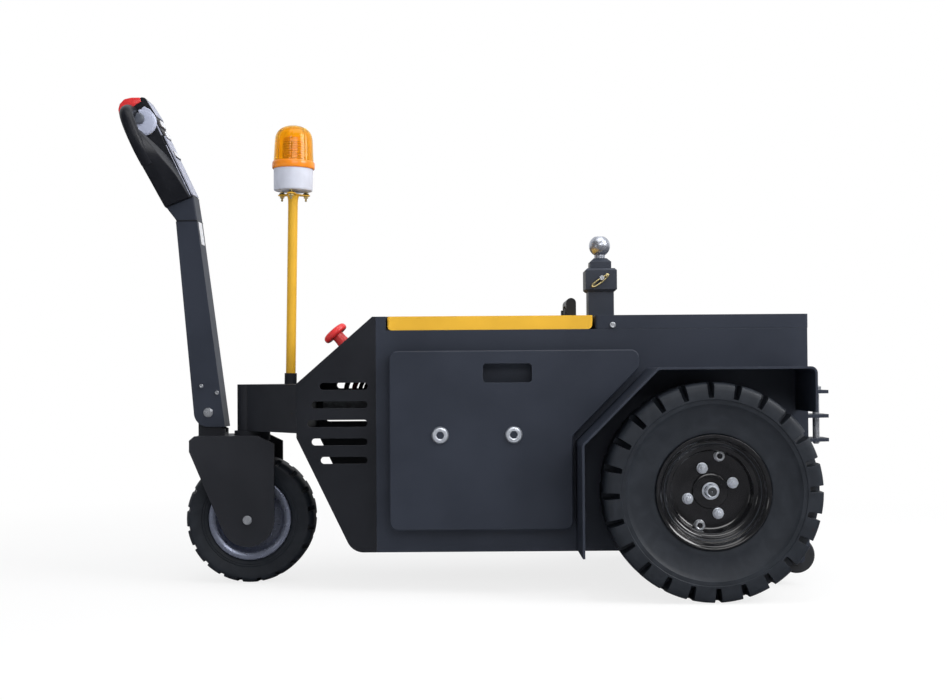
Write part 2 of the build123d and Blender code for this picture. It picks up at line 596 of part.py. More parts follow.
# Main side plates, with the raised strip at the seam and the hole for the axle tube
for name, side in SIDES:
    start, length = across(BODY_HALF_WIDTH - SHEET, BODY_HALF_WIDTH, side)
    with BuildPart() as side_plate:
        with BuildSketch(start):
            outline(
                (SEAM_X + SEAT_GAP, BODY_BOTTOM_Z), (BODY_REAR_X, BODY_BOTTOM_Z),
                (BODY_REAR_X, BODY_TOP_Z - COVER_SKIRT - SEAT_GAP),
                (LID_FRONT_X - 3, BODY_TOP_Z - COVER_SKIRT - SEAT_GAP), (LID_FRONT_X - 3, BODY_TOP_Z),
                (SEAM_X + SEAT_GAP, BODY_TOP_Z),
            )
            with Locations((REAR_AXLE_X, REAR_TYRE_R)):
                Circle(AXLE_TUBE_R + SEAT_GAP, mode=Mode.SUBTRACT)
        extrude(amount=length)
    save(side_plate.part, f"side_plate_{name}")

# Floor pan: the floor under the battery, its bulkhead behind the nose and the hinge strip on top
BULKHEAD_X = -213.0
PAN_REAR_X = 345.0
HINGE_X = -198.0
HINGE_Z = 613.0
HINGE_R = 4.0
HINGE_PIN_R = 1.8
HINGE_SPOTS = (-115, 115)  # middle of each hinge across the body
HINGE_LENGTH = 60.0
with BuildPart() as floor_pan:
    with BuildSketch(upright(NOSE_HALF)):
        outline(
            (SEAM_X + SEAT_GAP, BODY_BOTTOM_Z), (PAN_REAR_X, BODY_BOTTOM_Z), (PAN_REAR_X, BODY_BOTTOM_Z + SHEET),
            (BULKHEAD_X + SHEET, BODY_BOTTOM_Z + SHEET), (BULKHEAD_X + SHEET, HINGE_Z - 8),
            (HINGE_X + 1, HINGE_Z - 8), (HINGE_X + 1, HINGE_Z - HINGE_R - 1), (BULKHEAD_X, HINGE_Z - HINGE_R - 1),
            (BULKHEAD_X, BODY_TOP_Z), (SEAM_X + SEAT_GAP, BODY_TOP_Z),
        )
    extrude(amount=2 * NOSE_HALF)
    for middle in HINGE_SPOTS:
        # Outer thirds of each hinge belong to the body, the middle third to the lid
        for shift in (-HINGE_LENGTH / 3, HINGE_LENGTH / 3):
            with BuildSketch(upright(middle + shift + HINGE_LENGTH / 6 - 0.5)):
                with Locations((HINGE_X, HINGE_Z)):
                    Circle(HINGE_R)
                with Locations(((BULKHEAD_X + HINGE_X) / 2 - 1, HINGE_Z - 2.5)):
                    Rectangle(HINGE_X - BULKHEAD_X, 3)
            extrude(amount=HINGE_LENGTH / 3 - 1)
        with BuildSketch(upright(middle + HINGE_LENGTH / 2 - 2)):
            with Locations((HINGE_X, HINGE_Z)):
                Circle(HINGE_PIN_R)
        extrude(amount=HINGE_LENGTH - 4)
save(floor_pan.part, "floor_pan")

# Lid: a shallow folded cover, with the middle knuckles of the hinges
LID_SHEET = 3.0
SKIRT_RADIUS = 10.0
SKIRT_SLANT = 2.0
lid_middle = (LID_FRONT_X + LID_REAR_X) / 2
lid_length = LID_REAR_X - LID_FRONT_X
with BuildPart() as lid:
    with BuildSketch(Plane.XY.offset(BODY_TOP_Z - COVER_SKIRT)):
        with Locations((lid_middle, 0)):
            Rectangle(lid_length, 2 * BODY_HALF_WIDTH)
    extrude(amount=COVER_SKIRT)
    fillet(lid.edges().filter_by(Axis.Z), 6)
    with BuildSketch(Plane.XY.offset(BODY_TOP_Z - COVER_SKIRT)):
        with Locations((lid_middle, 0)):
            Rectangle(lid_length - 2 * LID_SHEET, 2 * (BODY_HALF_WIDTH - LID_SHEET))
    extrude(amount=COVER_SKIRT - LID_SHEET, mode=Mode.SUBTRACT)
    # Lower corners of the skirt: rounded, and the rear end slants forward
    lid_low = BODY_TOP_Z - COVER_SKIRT
    for end_x, slant, inward in ((LID_FRONT_X, 0.5, 1), (LID_REAR_X, SKIRT_SLANT, -1)):
        with BuildSketch(upright(BODY_HALF_WIDTH + 1)):
            with BuildLine():
                FilletPolyline(
                    (end_x, BODY_TOP_Z - 2 * LID_SHEET), (end_x + inward * slant, lid_low),
                    (end_x + inward * 3 * SKIRT_RADIUS, lid_low), radius=SKIRT_RADIUS,
                )
                Polyline(
                    (end_x + inward * 3 * SKIRT_RADIUS, lid_low), (end_x + inward * 3 * SKIRT_RADIUS, lid_low - 1),
                    (end_x - inward, lid_low - 1), (end_x - inward, BODY_TOP_Z - 2 * LID_SHEET),
                    (end_x, BODY_TOP_Z - 2 * LID_SHEET),
                )
            make_face()
        extrude(amount=2 * BODY_HALF_WIDTH + 2, mode=Mode.SUBTRACT)
    for middle in HINGE_SPOTS:
        with BuildSketch(upright(middle + HINGE_LENGTH / 6 - 0.5)):
            with Locations((HINGE_X, HINGE_Z)):
                Circle(HINGE_R)
            with Locations((LID_FRONT_X - 1.5, HINGE_Z - 1)):
                Rectangle(7, 2)
            with Locations((HINGE_X, HINGE_Z)):
                Circle(HINGE_PIN_R + RUNNING_GAP, mode=Mode.SUBTRACT)
        extrude(amount=HINGE_LENGTH / 3 - 1)
save(lid.part, "lid")

# Lid handle: a moulded bridge near the lid's rear edge, two legs with a round-topped bar
HANDLE_X = 228.6
HANDLE_HALF = 62.0
HANDLE_RISE = 46.0
HANDLE_WIDTH = 23.0
HANDLE_LEG = 16.0
HANDLE_BAR = 17.0
LATCH_SHEET = 3.5
LATCH_RISE = 22.0
LATCH_X = HANDLE_X - HANDLE_WIDTH / 2 - 1
with BuildPart() as lid_handle:
    handle_foot = BODY_TOP_Z + SEAT_GAP
    with BuildSketch(upright(HANDLE_HALF)):
        with Locations((HANDLE_X, handle_foot + (HANDLE_RISE - HANDLE_WIDTH / 2) / 2)):
            Rectangle(HANDLE_WIDTH, HANDLE_RISE - HANDLE_WIDTH / 2)
        with Locations((HANDLE_X, handle_foot + HANDLE_RISE - HANDLE_WIDTH / 2)):
            Circle(HANDLE_WIDTH / 2)
    extrude(amount=2 * HANDLE_HALF)
    with BuildSketch(Plane.YZ.offset(HANDLE_X - HANDLE_WIDTH)):
        with Locations((0, handle_foot + (HANDLE_RISE - HANDLE_BAR) / 2 - 5)):
            RectangleRounded(2 * (HANDLE_HALF - HANDLE_LEG), HANDLE_RISE - HANDLE_BAR + 10, 10)
    extrude(amount=2 * HANDLE_WIDTH, mode=Mode.SUBTRACT)
    # Upturned edge of the base plate, ahead of each leg
    for side in (-1, 1):
        start, length = across(HANDLE_HALF - HANDLE_LEG, HANDLE_HALF, side)
        with BuildSketch(start):
            outline(
                (HANDLE_X, handle_foot), (LATCH_X - LATCH_SHEET, handle_foot),
                (LATCH_X - LATCH_SHEET, handle_foot + LATCH_RISE), (LATCH_X, handle_foot + LATCH_RISE),
                (LATCH_X, handle_foot + LATCH_SHEET / 2), (HANDLE_X, handle_foot + LATCH_SHEET / 2),
            )
        extrude(amount=length)
save(lid_handle.part, "lid_handle")

# Rear cover: the dark folded cover behind the lid, notched round the mast
cover_middle = (COVER_FRONT_X + BODY_REAR_X + 2) / 2
cover_length = BODY_REAR_X + 2 - COVER_FRONT_X
NOTCH_HALF = MAST_TUBE / 2 + 1
with BuildPart() as rear_cover:
    with BuildSketch(Plane.XY.offset(BODY_TOP_Z - COVER_SKIRT)):
        with Locations((cover_middle, 0)):
            Rectangle(cover_length, 2 * BODY_HALF_WIDTH)
    extrude(amount=COVER_SKIRT)
    fillet(rear_cover.edges().filter_by(Axis.Z), 6)
    with BuildSketch(Plane.XY.offset(BODY_TOP_Z - COVER_SKIRT)):
        with Locations((cover_middle, 0)):
            Rectangle(cover_length - 2 * LID_SHEET, 2 * (BODY_HALF_WIDTH - LID_SHEET))
    extrude(amount=COVER_SKIRT - LID_SHEET, mode=Mode.SUBTRACT)
    with BuildSketch(Plane.XY.offset(BODY_TOP_Z - COVER_SKIRT)):
        with Locations(((COVER_FRONT_X - 1 + MAST_X + NOTCH_HALF) / 2, 0)):
            Rectangle(MAST_X + NOTCH_HALF - COVER_FRONT_X + 1, 2 * NOTCH_HALF)
    extrude(amount=COVER_SKIRT, mode=Mode.SUBTRACT)
save(rear_cover.part, "rear_cover")

# Rear wall between the side plates, folded forward at its foot above the rollers
BRACKET_TOP_Z = 122.0
WALL_FOOT_Z = BRACKET_TOP_Z + SEAT_GAP
WALL_FLANGE = 60.0
with BuildPart() as rear_wall:
    with BuildSketch(upright(NOSE_HALF)):
        outline(
            (BODY_REAR_X - WALL_FLANGE, WALL_FOOT_Z), (BODY_REAR_X, WALL_FOOT_Z),
            (BODY_REAR_X, BODY_TOP_Z - COVER_SKIRT - SEAT_GAP),
            (BODY_REAR_X - SHEET, BODY_TOP_Z - COVER_SKIRT - SEAT_GAP),
            (BODY_REAR_X - SHEET, WALL_FOOT_Z + SHEET), (BODY_REAR_X - WALL_FLANGE, WALL_FOOT_Z + SHEET),
        )
    extrude(amount=2 * NOSE_HALF)
save(rear_wall.part, "rear_wall")

# Battery: a steel tank with a row of cells and their caps
BATTERY_REAR_X = 250.0
BATTERY_TOP_Z = 548.0
BATTERY_SIDE_GAP = 10.0
CELLS = 6
TANK_WALL = 5.0
CELL_DEPTH = 14.0
with BuildPart() as battery_pack:
    front = BULKHEAD_X + SHEET + BATTERY_SIDE_GAP
    rear = BATTERY_REAR_X
    half = BODY_HALF_WIDTH - SHEET - BATTERY_SIDE_GAP
    top = BATTERY_TOP_Z
    with BuildSketch(Plane.XY.offset(BODY_BOTTOM_Z + SHEET)):
        with Locations(((front + rear) / 2, 0)):
            Rectangle(rear - front, 2 * half)
    extrude(amount=top - BODY_BOTTOM_Z - SHEET)
    with BuildSketch(Plane.XY.offset(top - CELL_DEPTH)):
        with Locations(((front + rear) / 2, 0)):
            Rectangle(rear - front - 2 * TANK_WALL, 2 * (half - TANK_WALL))
    extrude(amount=CELL_DEPTH, mode=Mode.SUBTRACT)
    cell_length = (rear - front - 2 * TANK_WALL - 4) / CELLS
    with BuildSketch(Plane.XY.offset(top - CELL_DEPTH)):
        with Locations(((front + rear) / 2, 0)):
            with GridLocations(cell_length, half - TANK_WALL - 2, CELLS, 2):
                Rectangle(cell_length - 3, half - TANK_WALL - 5)
    extrude(amount=CELL_DEPTH - 2)
save(battery_pack.part, "battery_pack")

# Motor controller on the bulkhead, behind the cheeks' slots
CONTROLLER_LOW_Z = 392.0
CONTROLLER_HEIGHT = 44.0
CONTROLLER_DEPTH = 126.0
CONTROLLER_SIDE_GAP = 65.0
with BuildPart() as controller_box:
    with BuildSketch(Plane.XY.offset(CONTROLLER_LOW_Z)):
        with Locations((SEAM_X - CONTROLLER_DEPTH / 2, 0)):
            Rectangle(CONTROLLER_DEPTH, 2 * (BODY_HALF_WIDTH - SHEET - CONTROLLER_SIDE_GAP))
    extrude(amount=CONTROLLER_HEIGHT)
save(controller_box.part, "controller_box")

# Power cables: from the controller's top over to the bulkhead, as the upper slot shows them
# Table of cables: X at the controller, Y, radius, bend radius
CABLES = [(-298.0, -60.0, 6.0, 60.0), (-283.0, -20.0, 6.0, 52.0), (-272.0, 20.0, 5.0, 45.0), (-262.0, 45.0, 5.0, 38.0)]
CABLE_RISE = 8.0  # straight length above the controller
with BuildPart() as power_cables:
    cable_foot = CONTROLLER_LOW_Z + CONTROLLER_HEIGHT + SEAT_GAP
    for x, y, cable_r, bend_r in CABLES:
        with BuildLine(upright(y)) as cable_line:
            FilletPolyline(
                (x, cable_foot), (x, cable_foot + CABLE_RISE + bend_r),
                (SEAM_X, cable_foot + CABLE_RISE + bend_r), radius=bend_r,
            )
        with BuildSketch(Plane(origin=cable_line.line @ 0, z_dir=cable_line.line % 0)):
            Circle(cable_r)
        sweep(path=cable_line.line)
save(power_cables.part, "power_cables")

# Drive unit: gear casing with axle tubes to both sides, motor and mounting flanges
CASING_R = 78.0
MOTOR_R = 72.0
TUBE_FLANGE_R = 66.0
with BuildPart() as drive_unit:
    axle_centre = (REAR_AXLE_X, 0, REAR_TYRE_R)
    with BuildSketch(Plane(origin=axle_centre, x_dir=(1, 0, 0), z_dir=(0, 0, 1))):
        half_inner = BODY_HALF_WIDTH - SHEET
        outline(
            (0, -CASING_R + 20), (60, -CASING_R + 20), (CASING_R, -44), (CASING_R, 44), (60, CASING_R - 20),
            (AXLE_TUBE_R, 78), (AXLE_TUBE_R, half_inner - 12), (TUBE_FLANGE_R, half_inner - 12),
            (TUBE_FLANGE_R, half_inner), (AXLE_TUBE_R, half_inner), (AXLE_TUBE_R, AXLE_TUBE_END_Y),
            (0, AXLE_TUBE_END_Y),
        )
    revolve(axis=Axis(axle_centre, (0, 1, 0)))
    with BuildSketch(Plane(origin=axle_centre, x_dir=(1, 0, 0), z_dir=(0, 0, 1))):
        outline(
            (0, -CASING_R + 21), (60, -CASING_R + 21), (AXLE_TUBE_R, -78), (AXLE_TUBE_R, 12 - half_inner),
            (TUBE_FLANGE_R, 12 - half_inner), (TUBE_FLANGE_R, -half_inner), (AXLE_TUBE_R, -half_inner),
            (AXLE_TUBE_R, -AXLE_TUBE_END_Y), (0, -AXLE_TUBE_END_Y),
        )
    revolve(axis=Axis(axle_centre, (0, 1, 0)))
    for side in (-1, 1):
        start, length = across(AXLE_TUBE_END_Y - STUB_LENGTH - 2, AXLE_TUBE_END_Y + 1, side)
        with BuildSketch(start):
            with Locations((REAR_AXLE_X, REAR_TYRE_R)):
                Circle(STUB_R + RUNNING_GAP)
        extrude(amount=length, mode=Mode.SUBTRACT)
    with BuildSketch(Plane.XY.offset(REAR_TYRE_R + 30)):
        with Locations((REAR_AXLE_X, 0)):
            Circle(MOTOR_R)
    extrude(amount=250)
save(drive_unit.part, "drive_unit")

# Fenders: a folded plate over each rear wheel
FENDER_FRONT_X = 229.0
FENDER_TOP_Z = 494.0
FENDER_REAR_X = 721.0
# Table of the fold line, seen from the side: X, Z
FENDER_LINE = [
    (FENDER_FRONT_X, 95), (FENDER_FRONT_X, 334), (389, FENDER_TOP_Z),
    (FENDER_REAR_X, FENDER_TOP_Z), (FENDER_REAR_X, 400),
]
FENDER_BEND_R = 12.0
for name, side in SIDES:
    start, length = across(BODY_HALF_WIDTH, FENDER_REACH, side)
    with BuildPart() as fender:
        with BuildSketch(start):
            with BuildLine():
                FilletPolyline(*FENDER_LINE, radius=FENDER_BEND_R)
            trace(line_width=SHEET)
        extrude(amount=length)
    save(fender.part, f"fender_{name}")

# Ballast plates: thick steel slabs with a hand slot, each held by two large socket screws
BALLAST_FRONT_X = -186.7
BALLAST_REAR_X = 217.6
BALLAST_LOW_Z = 141.7
BALLAST_HIGH_Z = 537.0
# Far upper corner that follows the fender's slope
BALLAST_TIP_X = 366.0
BALLAST_TIP_Z = 497.0
BALLAST_SHOULDER_Z = 347.0
HAND_SLOT = (20.5, 128.6, 466.0, 508.0)
BALLAST_BOLTS_X = (-74.7, 87.5)
BALLAST_BOLT_R = 18.0
for name, side in SIDES:
    start, length = across(BODY_HALF_WIDTH, BODY_HALF_WIDTH + BALLAST_THICK, side)
    with BuildPart() as ballast:
        with BuildSketch(start):
            with BuildLine():
                FilletPolyline(
                    (BALLAST_FRONT_X, BALLAST_LOW_Z), (BALLAST_REAR_X, BALLAST_LOW_Z),
                    (BALLAST_REAR_X, BALLAST_SHOULDER_Z), (BALLAST_TIP_X, BALLAST_TIP_Z),
                    (BALLAST_TIP_X, BALLAST_HIGH_Z), (BALLAST_FRONT_X, BALLAST_HIGH_Z),
                    radius=18, close=True,
                )
            make_face()
            low_x, high_x, low_z, high_z = HAND_SLOT
            with Locations(((low_x + high_x) / 2, (low_z + high_z) / 2)):
                RectangleRounded(high_x - low_x, high_z - low_z, 8, mode=Mode.SUBTRACT)
        extrude(amount=length)
        chamfer(ballast.faces().sort_by(Axis.Y)[-1 if side > 0 else 0].outer_wire().edges(), 2)
        bolt_start, bolt_length = across(BODY_HALF_WIDTH + BALLAST_THICK - 1, BODY_HALF_WIDTH + BALLAST_THICK + 4, side)
        with BuildSketch(bolt_start):
            with Locations(*[(x, BALLAST_BOLT_Z) for x in BALLAST_BOLTS_X]):
                Circle(BALLAST_BOLT_R)
        extrude(amount=bolt_length)
    save(ballast.part, f"ballast_{name}")

# Mast: a square tube through the cover, with a crossbeam between the side plates and a collar
MAST_FOOT_Z = 400.0
BEAM_HEIGHT = 60.0
COLLAR = 74.0
COLLAR_TOP_Z = 733.0
COLLAR_CHAMFER = 5.0
with BuildPart() as mast_tube:
    with BuildSketch(Plane.XY.offset(MAST_FOOT_Z)):
        with Locations((MAST_X, 0)):
            Rectangle(MAST_TUBE, MAST_TUBE)
    extrude(amount=MAST_TOP_Z + 1 - MAST_FOOT_Z)
    with BuildSketch(Plane.XY.offset(MAST_TOP_Z)):
        with Locations((MAST_X, 0)):
            Rectangle(COLLAR, COLLAR)
    extrude(amount=COLLAR_TOP_Z - MAST_TOP_Z)
    chamfer(mast_tube.faces().sort_by(Axis.Z)[-1].edges(), COLLAR_CHAMFER)
    collar_foot = mast_tube.edges().filter_by_position(Axis.Z, MAST_TOP_Z - 0.1, MAST_TOP_Z + 0.1)
    chamfer(collar_foot.filter_by(lambda edge: edge.length > COLLAR - 1), COLLAR_CHAMFER)
    with BuildSketch(Plane.XY.offset(MAST_FOOT_Z - 1)):
        with Locations((MAST_X, 0)):
            Rectangle(BALL_BAR + 2 * SEAT_GAP, BALL_BAR + 2 * SEAT_GAP)
    extrude(amount=COLLAR_TOP_Z - MAST_FOOT_Z + 2, mode=Mode.SUBTRACT)
    with BuildSketch(upright(BODY_HALF_WIDTH - SHEET)):
        with Locations((MAST_X, MAST_FOOT_Z + BEAM_HEIGHT / 2)):
            Rectangle(MAST_TUBE - 10, BEAM_HEIGHT)
    extrude(amount=2 * (BODY_HALF_WIDTH - SHEET))
    with BuildSketch(Plane.XY.offset(MAST_FOOT_Z + 8)):
        with Locations((MAST_X, 0)):
            Rectangle(BALL_BAR + 2 * SEAT_GAP, BALL_BAR + 2 * SEAT_GAP)
    extrude(amount=BEAM_HEIGHT, mode=Mode.SUBTRACT)
    with BuildSketch(upright(COLLAR)):
        with Locations((MAST_PIN_X, MAST_PIN_Z)):
            Circle(MAST_PIN_R + SEAT_GAP)
    extrude(amount=2 * COLLAR, mode=Mode.SUBTRACT)
save(mast_tube.part, "mast_tube")

# Ball bar: the square bar that slides in the mast, with its pyramid end
BAR_FOOT_Z = MAST_FOOT_Z + 40
BAR_SHOULDER_Z = 749.0
BAR_TOP_Z = 758.0
BAR_TOP = 30.0
with BuildPart() as ball_bar:
    with BuildSketch(Plane.XY.offset(BAR_FOOT_Z)):
        with Locations((MAST_X, 0)):
            Rectangle(BALL_BAR, BALL_BAR)
    extrude(amount=BAR_SHOULDER_Z - BAR_FOOT_Z)
    with BuildSketch(Plane.XY.offset(BAR_SHOULDER_Z)):
        with Locations((MAST_X, 0)):
            Rectangle(BALL_BAR, BALL_BAR)
    with BuildSketch(Plane.XY.offset(BAR_TOP_Z)):
        with Locations((MAST_X, 0)):
            Rectangle(BAR_TOP, BAR_TOP)
    loft()
    with BuildSketch(upright(COLLAR)):
        with Locations((MAST_PIN_X, MAST_PIN_Z)):
            Circle(MAST_PIN_R + SEAT_GAP)
    extrude(amount=2 * COLLAR, mode=Mode.SUBTRACT)
save(ball_bar.part, "ball_bar")

# Tow ball on its shank, flat on top
SHANK_R = 12.8
BALL_FLAT_R = 11.9
with BuildPart() as tow_ball:
    with BuildSketch(Plane(origin=(MAST_X, 0, 0), x_dir=(1, 0, 0), z_dir=(0, -1, 0))):
        neck_z = BALL_Z - BALL_R * cos(asin(SHANK_R / BALL_R))
        crown_z = BALL_Z + BALL_R * cos(asin(BALL_FLAT_R / BALL_R))
        with BuildLine():
            Polyline((0, crown_z), (0, BAR_TOP_Z), (SHANK_R, BAR_TOP_Z), (SHANK_R, neck_z))
            ThreePointArc((SHANK_R, neck_z), (BALL_R, BALL_Z), (BALL_FLAT_R, crown_z))
            Line((BALL_FLAT_R, crown_z), (0, crown_z))
        make_face()
    revolve(axis=Axis((MAST_X, 0, 0), (0, 0, 1)))
save(tow_ball.part, "tow_ball")

# Mast pin across the collar
with BuildPart() as mast_pin:
    with BuildSketch(upright(COLLAR / 2 + 14)):
        with Locations((MAST_PIN_X, MAST_PIN_Z)):
            Circle(MAST_PIN_R)
    extrude(amount=COLLAR + 24)
    with BuildSketch(upright(COLLAR / 2 + 14)):
        with Locations((MAST_PIN_X, MAST_PIN_Z)):
            Circle(MAST_PIN_R + 4)
    extrude(amount=6)
save(mast_pin.part, "mast_pin")

# Hitch bracket: a back plate with three jaw plates, bored for the tow pin
JAW_ROOT_HALF = 62.0
JAW_END_HALF = 35.0
BACK_PLATE = 8.0
BACK_PLATE_WIDTH = 160.0
BACK_PLATE_RISE = 47.0
with BuildPart() as hitch_bracket:
    with BuildSketch(Plane.YZ.offset(BODY_REAR_X + SEAT_GAP)):
        with Locations((0, (JAW_LEVELS[0] + JAW_LEVELS[2]) / 2)):
            RectangleRounded(BACK_PLATE_WIDTH, JAW_LEVELS[2] - JAW_LEVELS[0] + BACK_PLATE_RISE, 10)
    extrude(amount=BACK_PLATE)
    for level in JAW_LEVELS:
        with BuildSketch(Plane.XY.offset(level - JAW_PLATE / 2)):
            with BuildLine():
                FilletPolyline(
                    (BODY_REAR_X + 2, -JAW_ROOT_HALF), (JAW_END_X, -JAW_END_HALF),
                    (JAW_END_X, JAW_END_HALF), (BODY_REAR_X + 2, JAW_ROOT_HALF), radius=10,
                )
                Line((BODY_REAR_X + 2, JAW_ROOT_HALF), (BODY_REAR_X + 2, -JAW_ROOT_HALF))
            make_face()
            with Locations((TOW_PIN_X, 0)):
                Circle(TOW_PIN_R + SEAT_GAP, mode=Mode.SUBTRACT)
        extrude(amount=JAW_PLATE)
save(hitch_bracket.part, "hitch_bracket")

# Tow pin: drops through the jaws and rests by its head on the upper one
TOW_PIN_LOW_Z = JAW_LEVELS[0] - 11
TOW_PIN_HIGH_Z = JAW_LEVELS[2] + 14
TOW_PIN_HEAD = 8.0
with BuildPart() as hitch_pin:
    with BuildSketch(Plane.XY.offset(TOW_PIN_LOW_Z)):
        with Locations((TOW_PIN_X, 0)):
            Circle(TOW_PIN_R)
    extrude(amount=TOW_PIN_HIGH_Z - TOW_PIN_LOW_Z)
    chamfer(hitch_pin.faces().sort_by(Axis.Z)[0].edges(), 3)
    with BuildSketch(Plane.XY.offset(JAW_LEVELS[2] + JAW_PLATE / 2 + SEAT_GAP)):
        with Locations((TOW_PIN_X, 0)):
            Circle(TOW_PIN_R + 5)
    extrude(amount=TOW_PIN_HEAD)
save(hitch_pin.part, "hitch_pin")

# Roller brackets: two ears each, hung from the rear wall's foot
EAR = 5.0
EAR_FRONT = 60.0  # reach of the ears' top ahead of the axle
EAR_REAR = 9.0
ROLLER_GAP = MOVING_GAP
with BuildPart() as roller_brackets:
    for side in (-1, 1):
        for face in (-1, 1):
            middle = side * ROLLER_Y + face * (ROLLER_WIDTH / 2 + ROLLER_GAP + EAR / 2)
            with BuildSketch(upright(middle + EAR / 2)):
                outline(
                    (ROLLER_X - 16, ROLLER_Z - 10), (ROLLER_X - 10, ROLLER_Z - 16), (ROLLER_X + 10, ROLLER_Z - 16),
                    (ROLLER_X + 16, ROLLER_Z - 10), (ROLLER_X + EAR_REAR, BRACKET_TOP_Z),
                    (ROLLER_X - EAR_FRONT, BRACKET_TOP_Z),
                )
            extrude(amount=EAR)
        with BuildSketch(Plane.XY.offset(BRACKET_TOP_Z - EAR)):
            with Locations((ROLLER_X + (EAR_REAR - EAR_FRONT) / 2, side * ROLLER_Y)):
                Rectangle(EAR_REAR + EAR_FRONT, ROLLER_WIDTH + 2 * ROLLER_GAP + 2 * EAR)
        extrude(amount=EAR)
        with BuildSketch(upright(side * ROLLER_Y + ROLLER_WIDTH / 2 + ROLLER_GAP + 1)):
            with Locations((ROLLER_X, ROLLER_Z)):
                Circle(8)
        extrude(amount=ROLLER_WIDTH + 2 * ROLLER_GAP + 2)
save(roller_brackets.part, "roller_brackets")

for name, side in SIDES:
    with BuildPart() as roller:
        with BuildSketch(upright(side * ROLLER_Y + ROLLER_WIDTH / 2)):
            with Locations((ROLLER_X, ROLLER_Z)):
                Circle(ROLLER_R)
                Circle(8 + RUNNING_GAP, mode=Mode.SUBTRACT)
        extrude(amount=ROLLER_WIDTH)
        chamfer(roller.edges().filter_by(GeomType.CIRCLE).sort_by(SortBy.RADIUS)[-2:], 3)
    save(roller.part, f"roller_{name}")

# Emergency stop on the nose slope
STOP_X = -290.0
STOP_Y = 80.0 - BODY_HALF_WIDTH
stop_foot_z = NOSE_SLOPE_FOOT_Z + slope_rise * (STOP_X - NOSE_FRONT_X) / slope_run
stop_normal = (-slope_rise / slope_length, 0, slope_run / slope_length)
stop_plane = Plane(origin=(STOP_X, STOP_Y, stop_foot_z), x_dir=(0, 1, 0), z_dir=stop_normal)
# Table of the button's steps: radius, height at its end
STOP_STEPS = [(17.0, 4.0), (14.5, 26.0), (30.0, 44.0)]
with BuildPart() as emergency_stop:
    foot = SEAT_GAP
    for step_r, step_end in STOP_STEPS:
        with BuildSketch(stop_plane.offset(foot)):
            Circle(step_r)
        extrude(amount=step_end - foot)
        foot = step_end
    fillet(emergency_stop.edges().filter_by(GeomType.CIRCLE).sort_by(SortBy.RADIUS)[-2:], 5)
save(emergency_stop.part, "emergency_stop")

# Beacon: leaning pole, its bracket plate with studs, the base and the lens
pole_length = POLE_TOP_Z - NECK_HIGH_Z
with BuildPart() as beacon_pole:
    with BuildSketch(pole_plane.offset(SEAT_GAP)):
        Circle(POLE_R)
    extrude(amount=pole_length)
save(beacon_pole.part, "beacon_pole")

BRACKET_ARMS = 3
BRACKET_ARM_WIDTH = 20.0
STUD_RING = 33.0
STUD_HEIGHT = 10.5
with BuildPart() as beacon_bracket:
    with BuildSketch(pole_plane.offset(pole_length + 2 * SEAT_GAP)):
        Circle(BRACKET_ARM_WIDTH)
        with PolarLocations(STUD_RING / 2, BRACKET_ARMS, start_angle=-90):
            SlotOverall(STUD_RING + BRACKET_ARM_WIDTH, BRACKET_ARM_WIDTH)
    extrude(amount=3)
    with BuildSketch(pole_plane.offset(pole_length - 8)):
        with PolarLocations(STUD_RING, BRACKET_ARMS, start_angle=-90):
            Circle(3)
    extrude(amount=STUD_HEIGHT + 10)
    with BuildSketch(pole_plane.offset(pole_length + 3)):
        with PolarLocations(STUD_RING, BRACKET_ARMS, start_angle=-90):
            Circle(5.5)
    extrude(amount=STUD_HEIGHT - 4)
save(beacon_bracket.part, "beacon_bracket")

base_foot = pole_length + STUD_HEIGHT + 2 + SEAT_GAP
with BuildPart() as beacon_base:
    with BuildSketch(pole_plane.offset(base_foot)):
        Circle(BEACON_BASE_R)
    extrude(amount=54, taper=-0.6)
save(beacon_base.part, "beacon_base")

lens_foot = base_foot + 54 + SEAT_GAP
lens_height = BEACON_TOP_Z - NECK_HIGH_Z - lens_foot
with BuildPart() as beacon_lens:
    with BuildSketch(pole_plane.offset(lens_foot)):
        Circle(BEACON_FLANGE_R)
    extrude(amount=14)
    with BuildSketch(pole_plane.offset(lens_foot + 13)):
        Circle(BEACON_BASE_R + 1.5)
    extrude(amount=lens_height - 13, taper=2)
    fillet(beacon_lens.edges().filter_by(GeomType.CIRCLE).sort_by(Axis.Z)[-1], 26)
save(beacon_lens.part, "beacon_lens")
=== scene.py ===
"""Looks of the electric tow tractor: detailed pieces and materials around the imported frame.

The scene is in metres and the tables are in millimetres. +X points to the hitch end, +Z up, and the
left side is -Y.
"""

from math import atan, cos, pi, radians, sin

import bmesh
import bpy
from mathutils import Matrix, Vector


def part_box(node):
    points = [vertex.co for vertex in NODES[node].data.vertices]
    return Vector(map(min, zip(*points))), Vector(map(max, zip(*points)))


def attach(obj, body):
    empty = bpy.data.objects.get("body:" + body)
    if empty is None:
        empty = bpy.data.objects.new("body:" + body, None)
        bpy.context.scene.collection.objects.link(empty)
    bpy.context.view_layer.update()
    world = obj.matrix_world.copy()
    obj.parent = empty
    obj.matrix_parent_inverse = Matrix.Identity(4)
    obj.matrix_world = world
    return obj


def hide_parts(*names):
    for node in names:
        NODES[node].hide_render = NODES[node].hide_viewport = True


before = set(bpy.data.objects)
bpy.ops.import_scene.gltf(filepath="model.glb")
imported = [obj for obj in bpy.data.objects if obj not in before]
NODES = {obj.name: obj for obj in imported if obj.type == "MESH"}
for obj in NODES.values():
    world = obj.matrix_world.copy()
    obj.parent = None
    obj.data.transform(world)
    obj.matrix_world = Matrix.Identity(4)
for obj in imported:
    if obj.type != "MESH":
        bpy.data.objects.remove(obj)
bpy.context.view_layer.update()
MM = 0.001


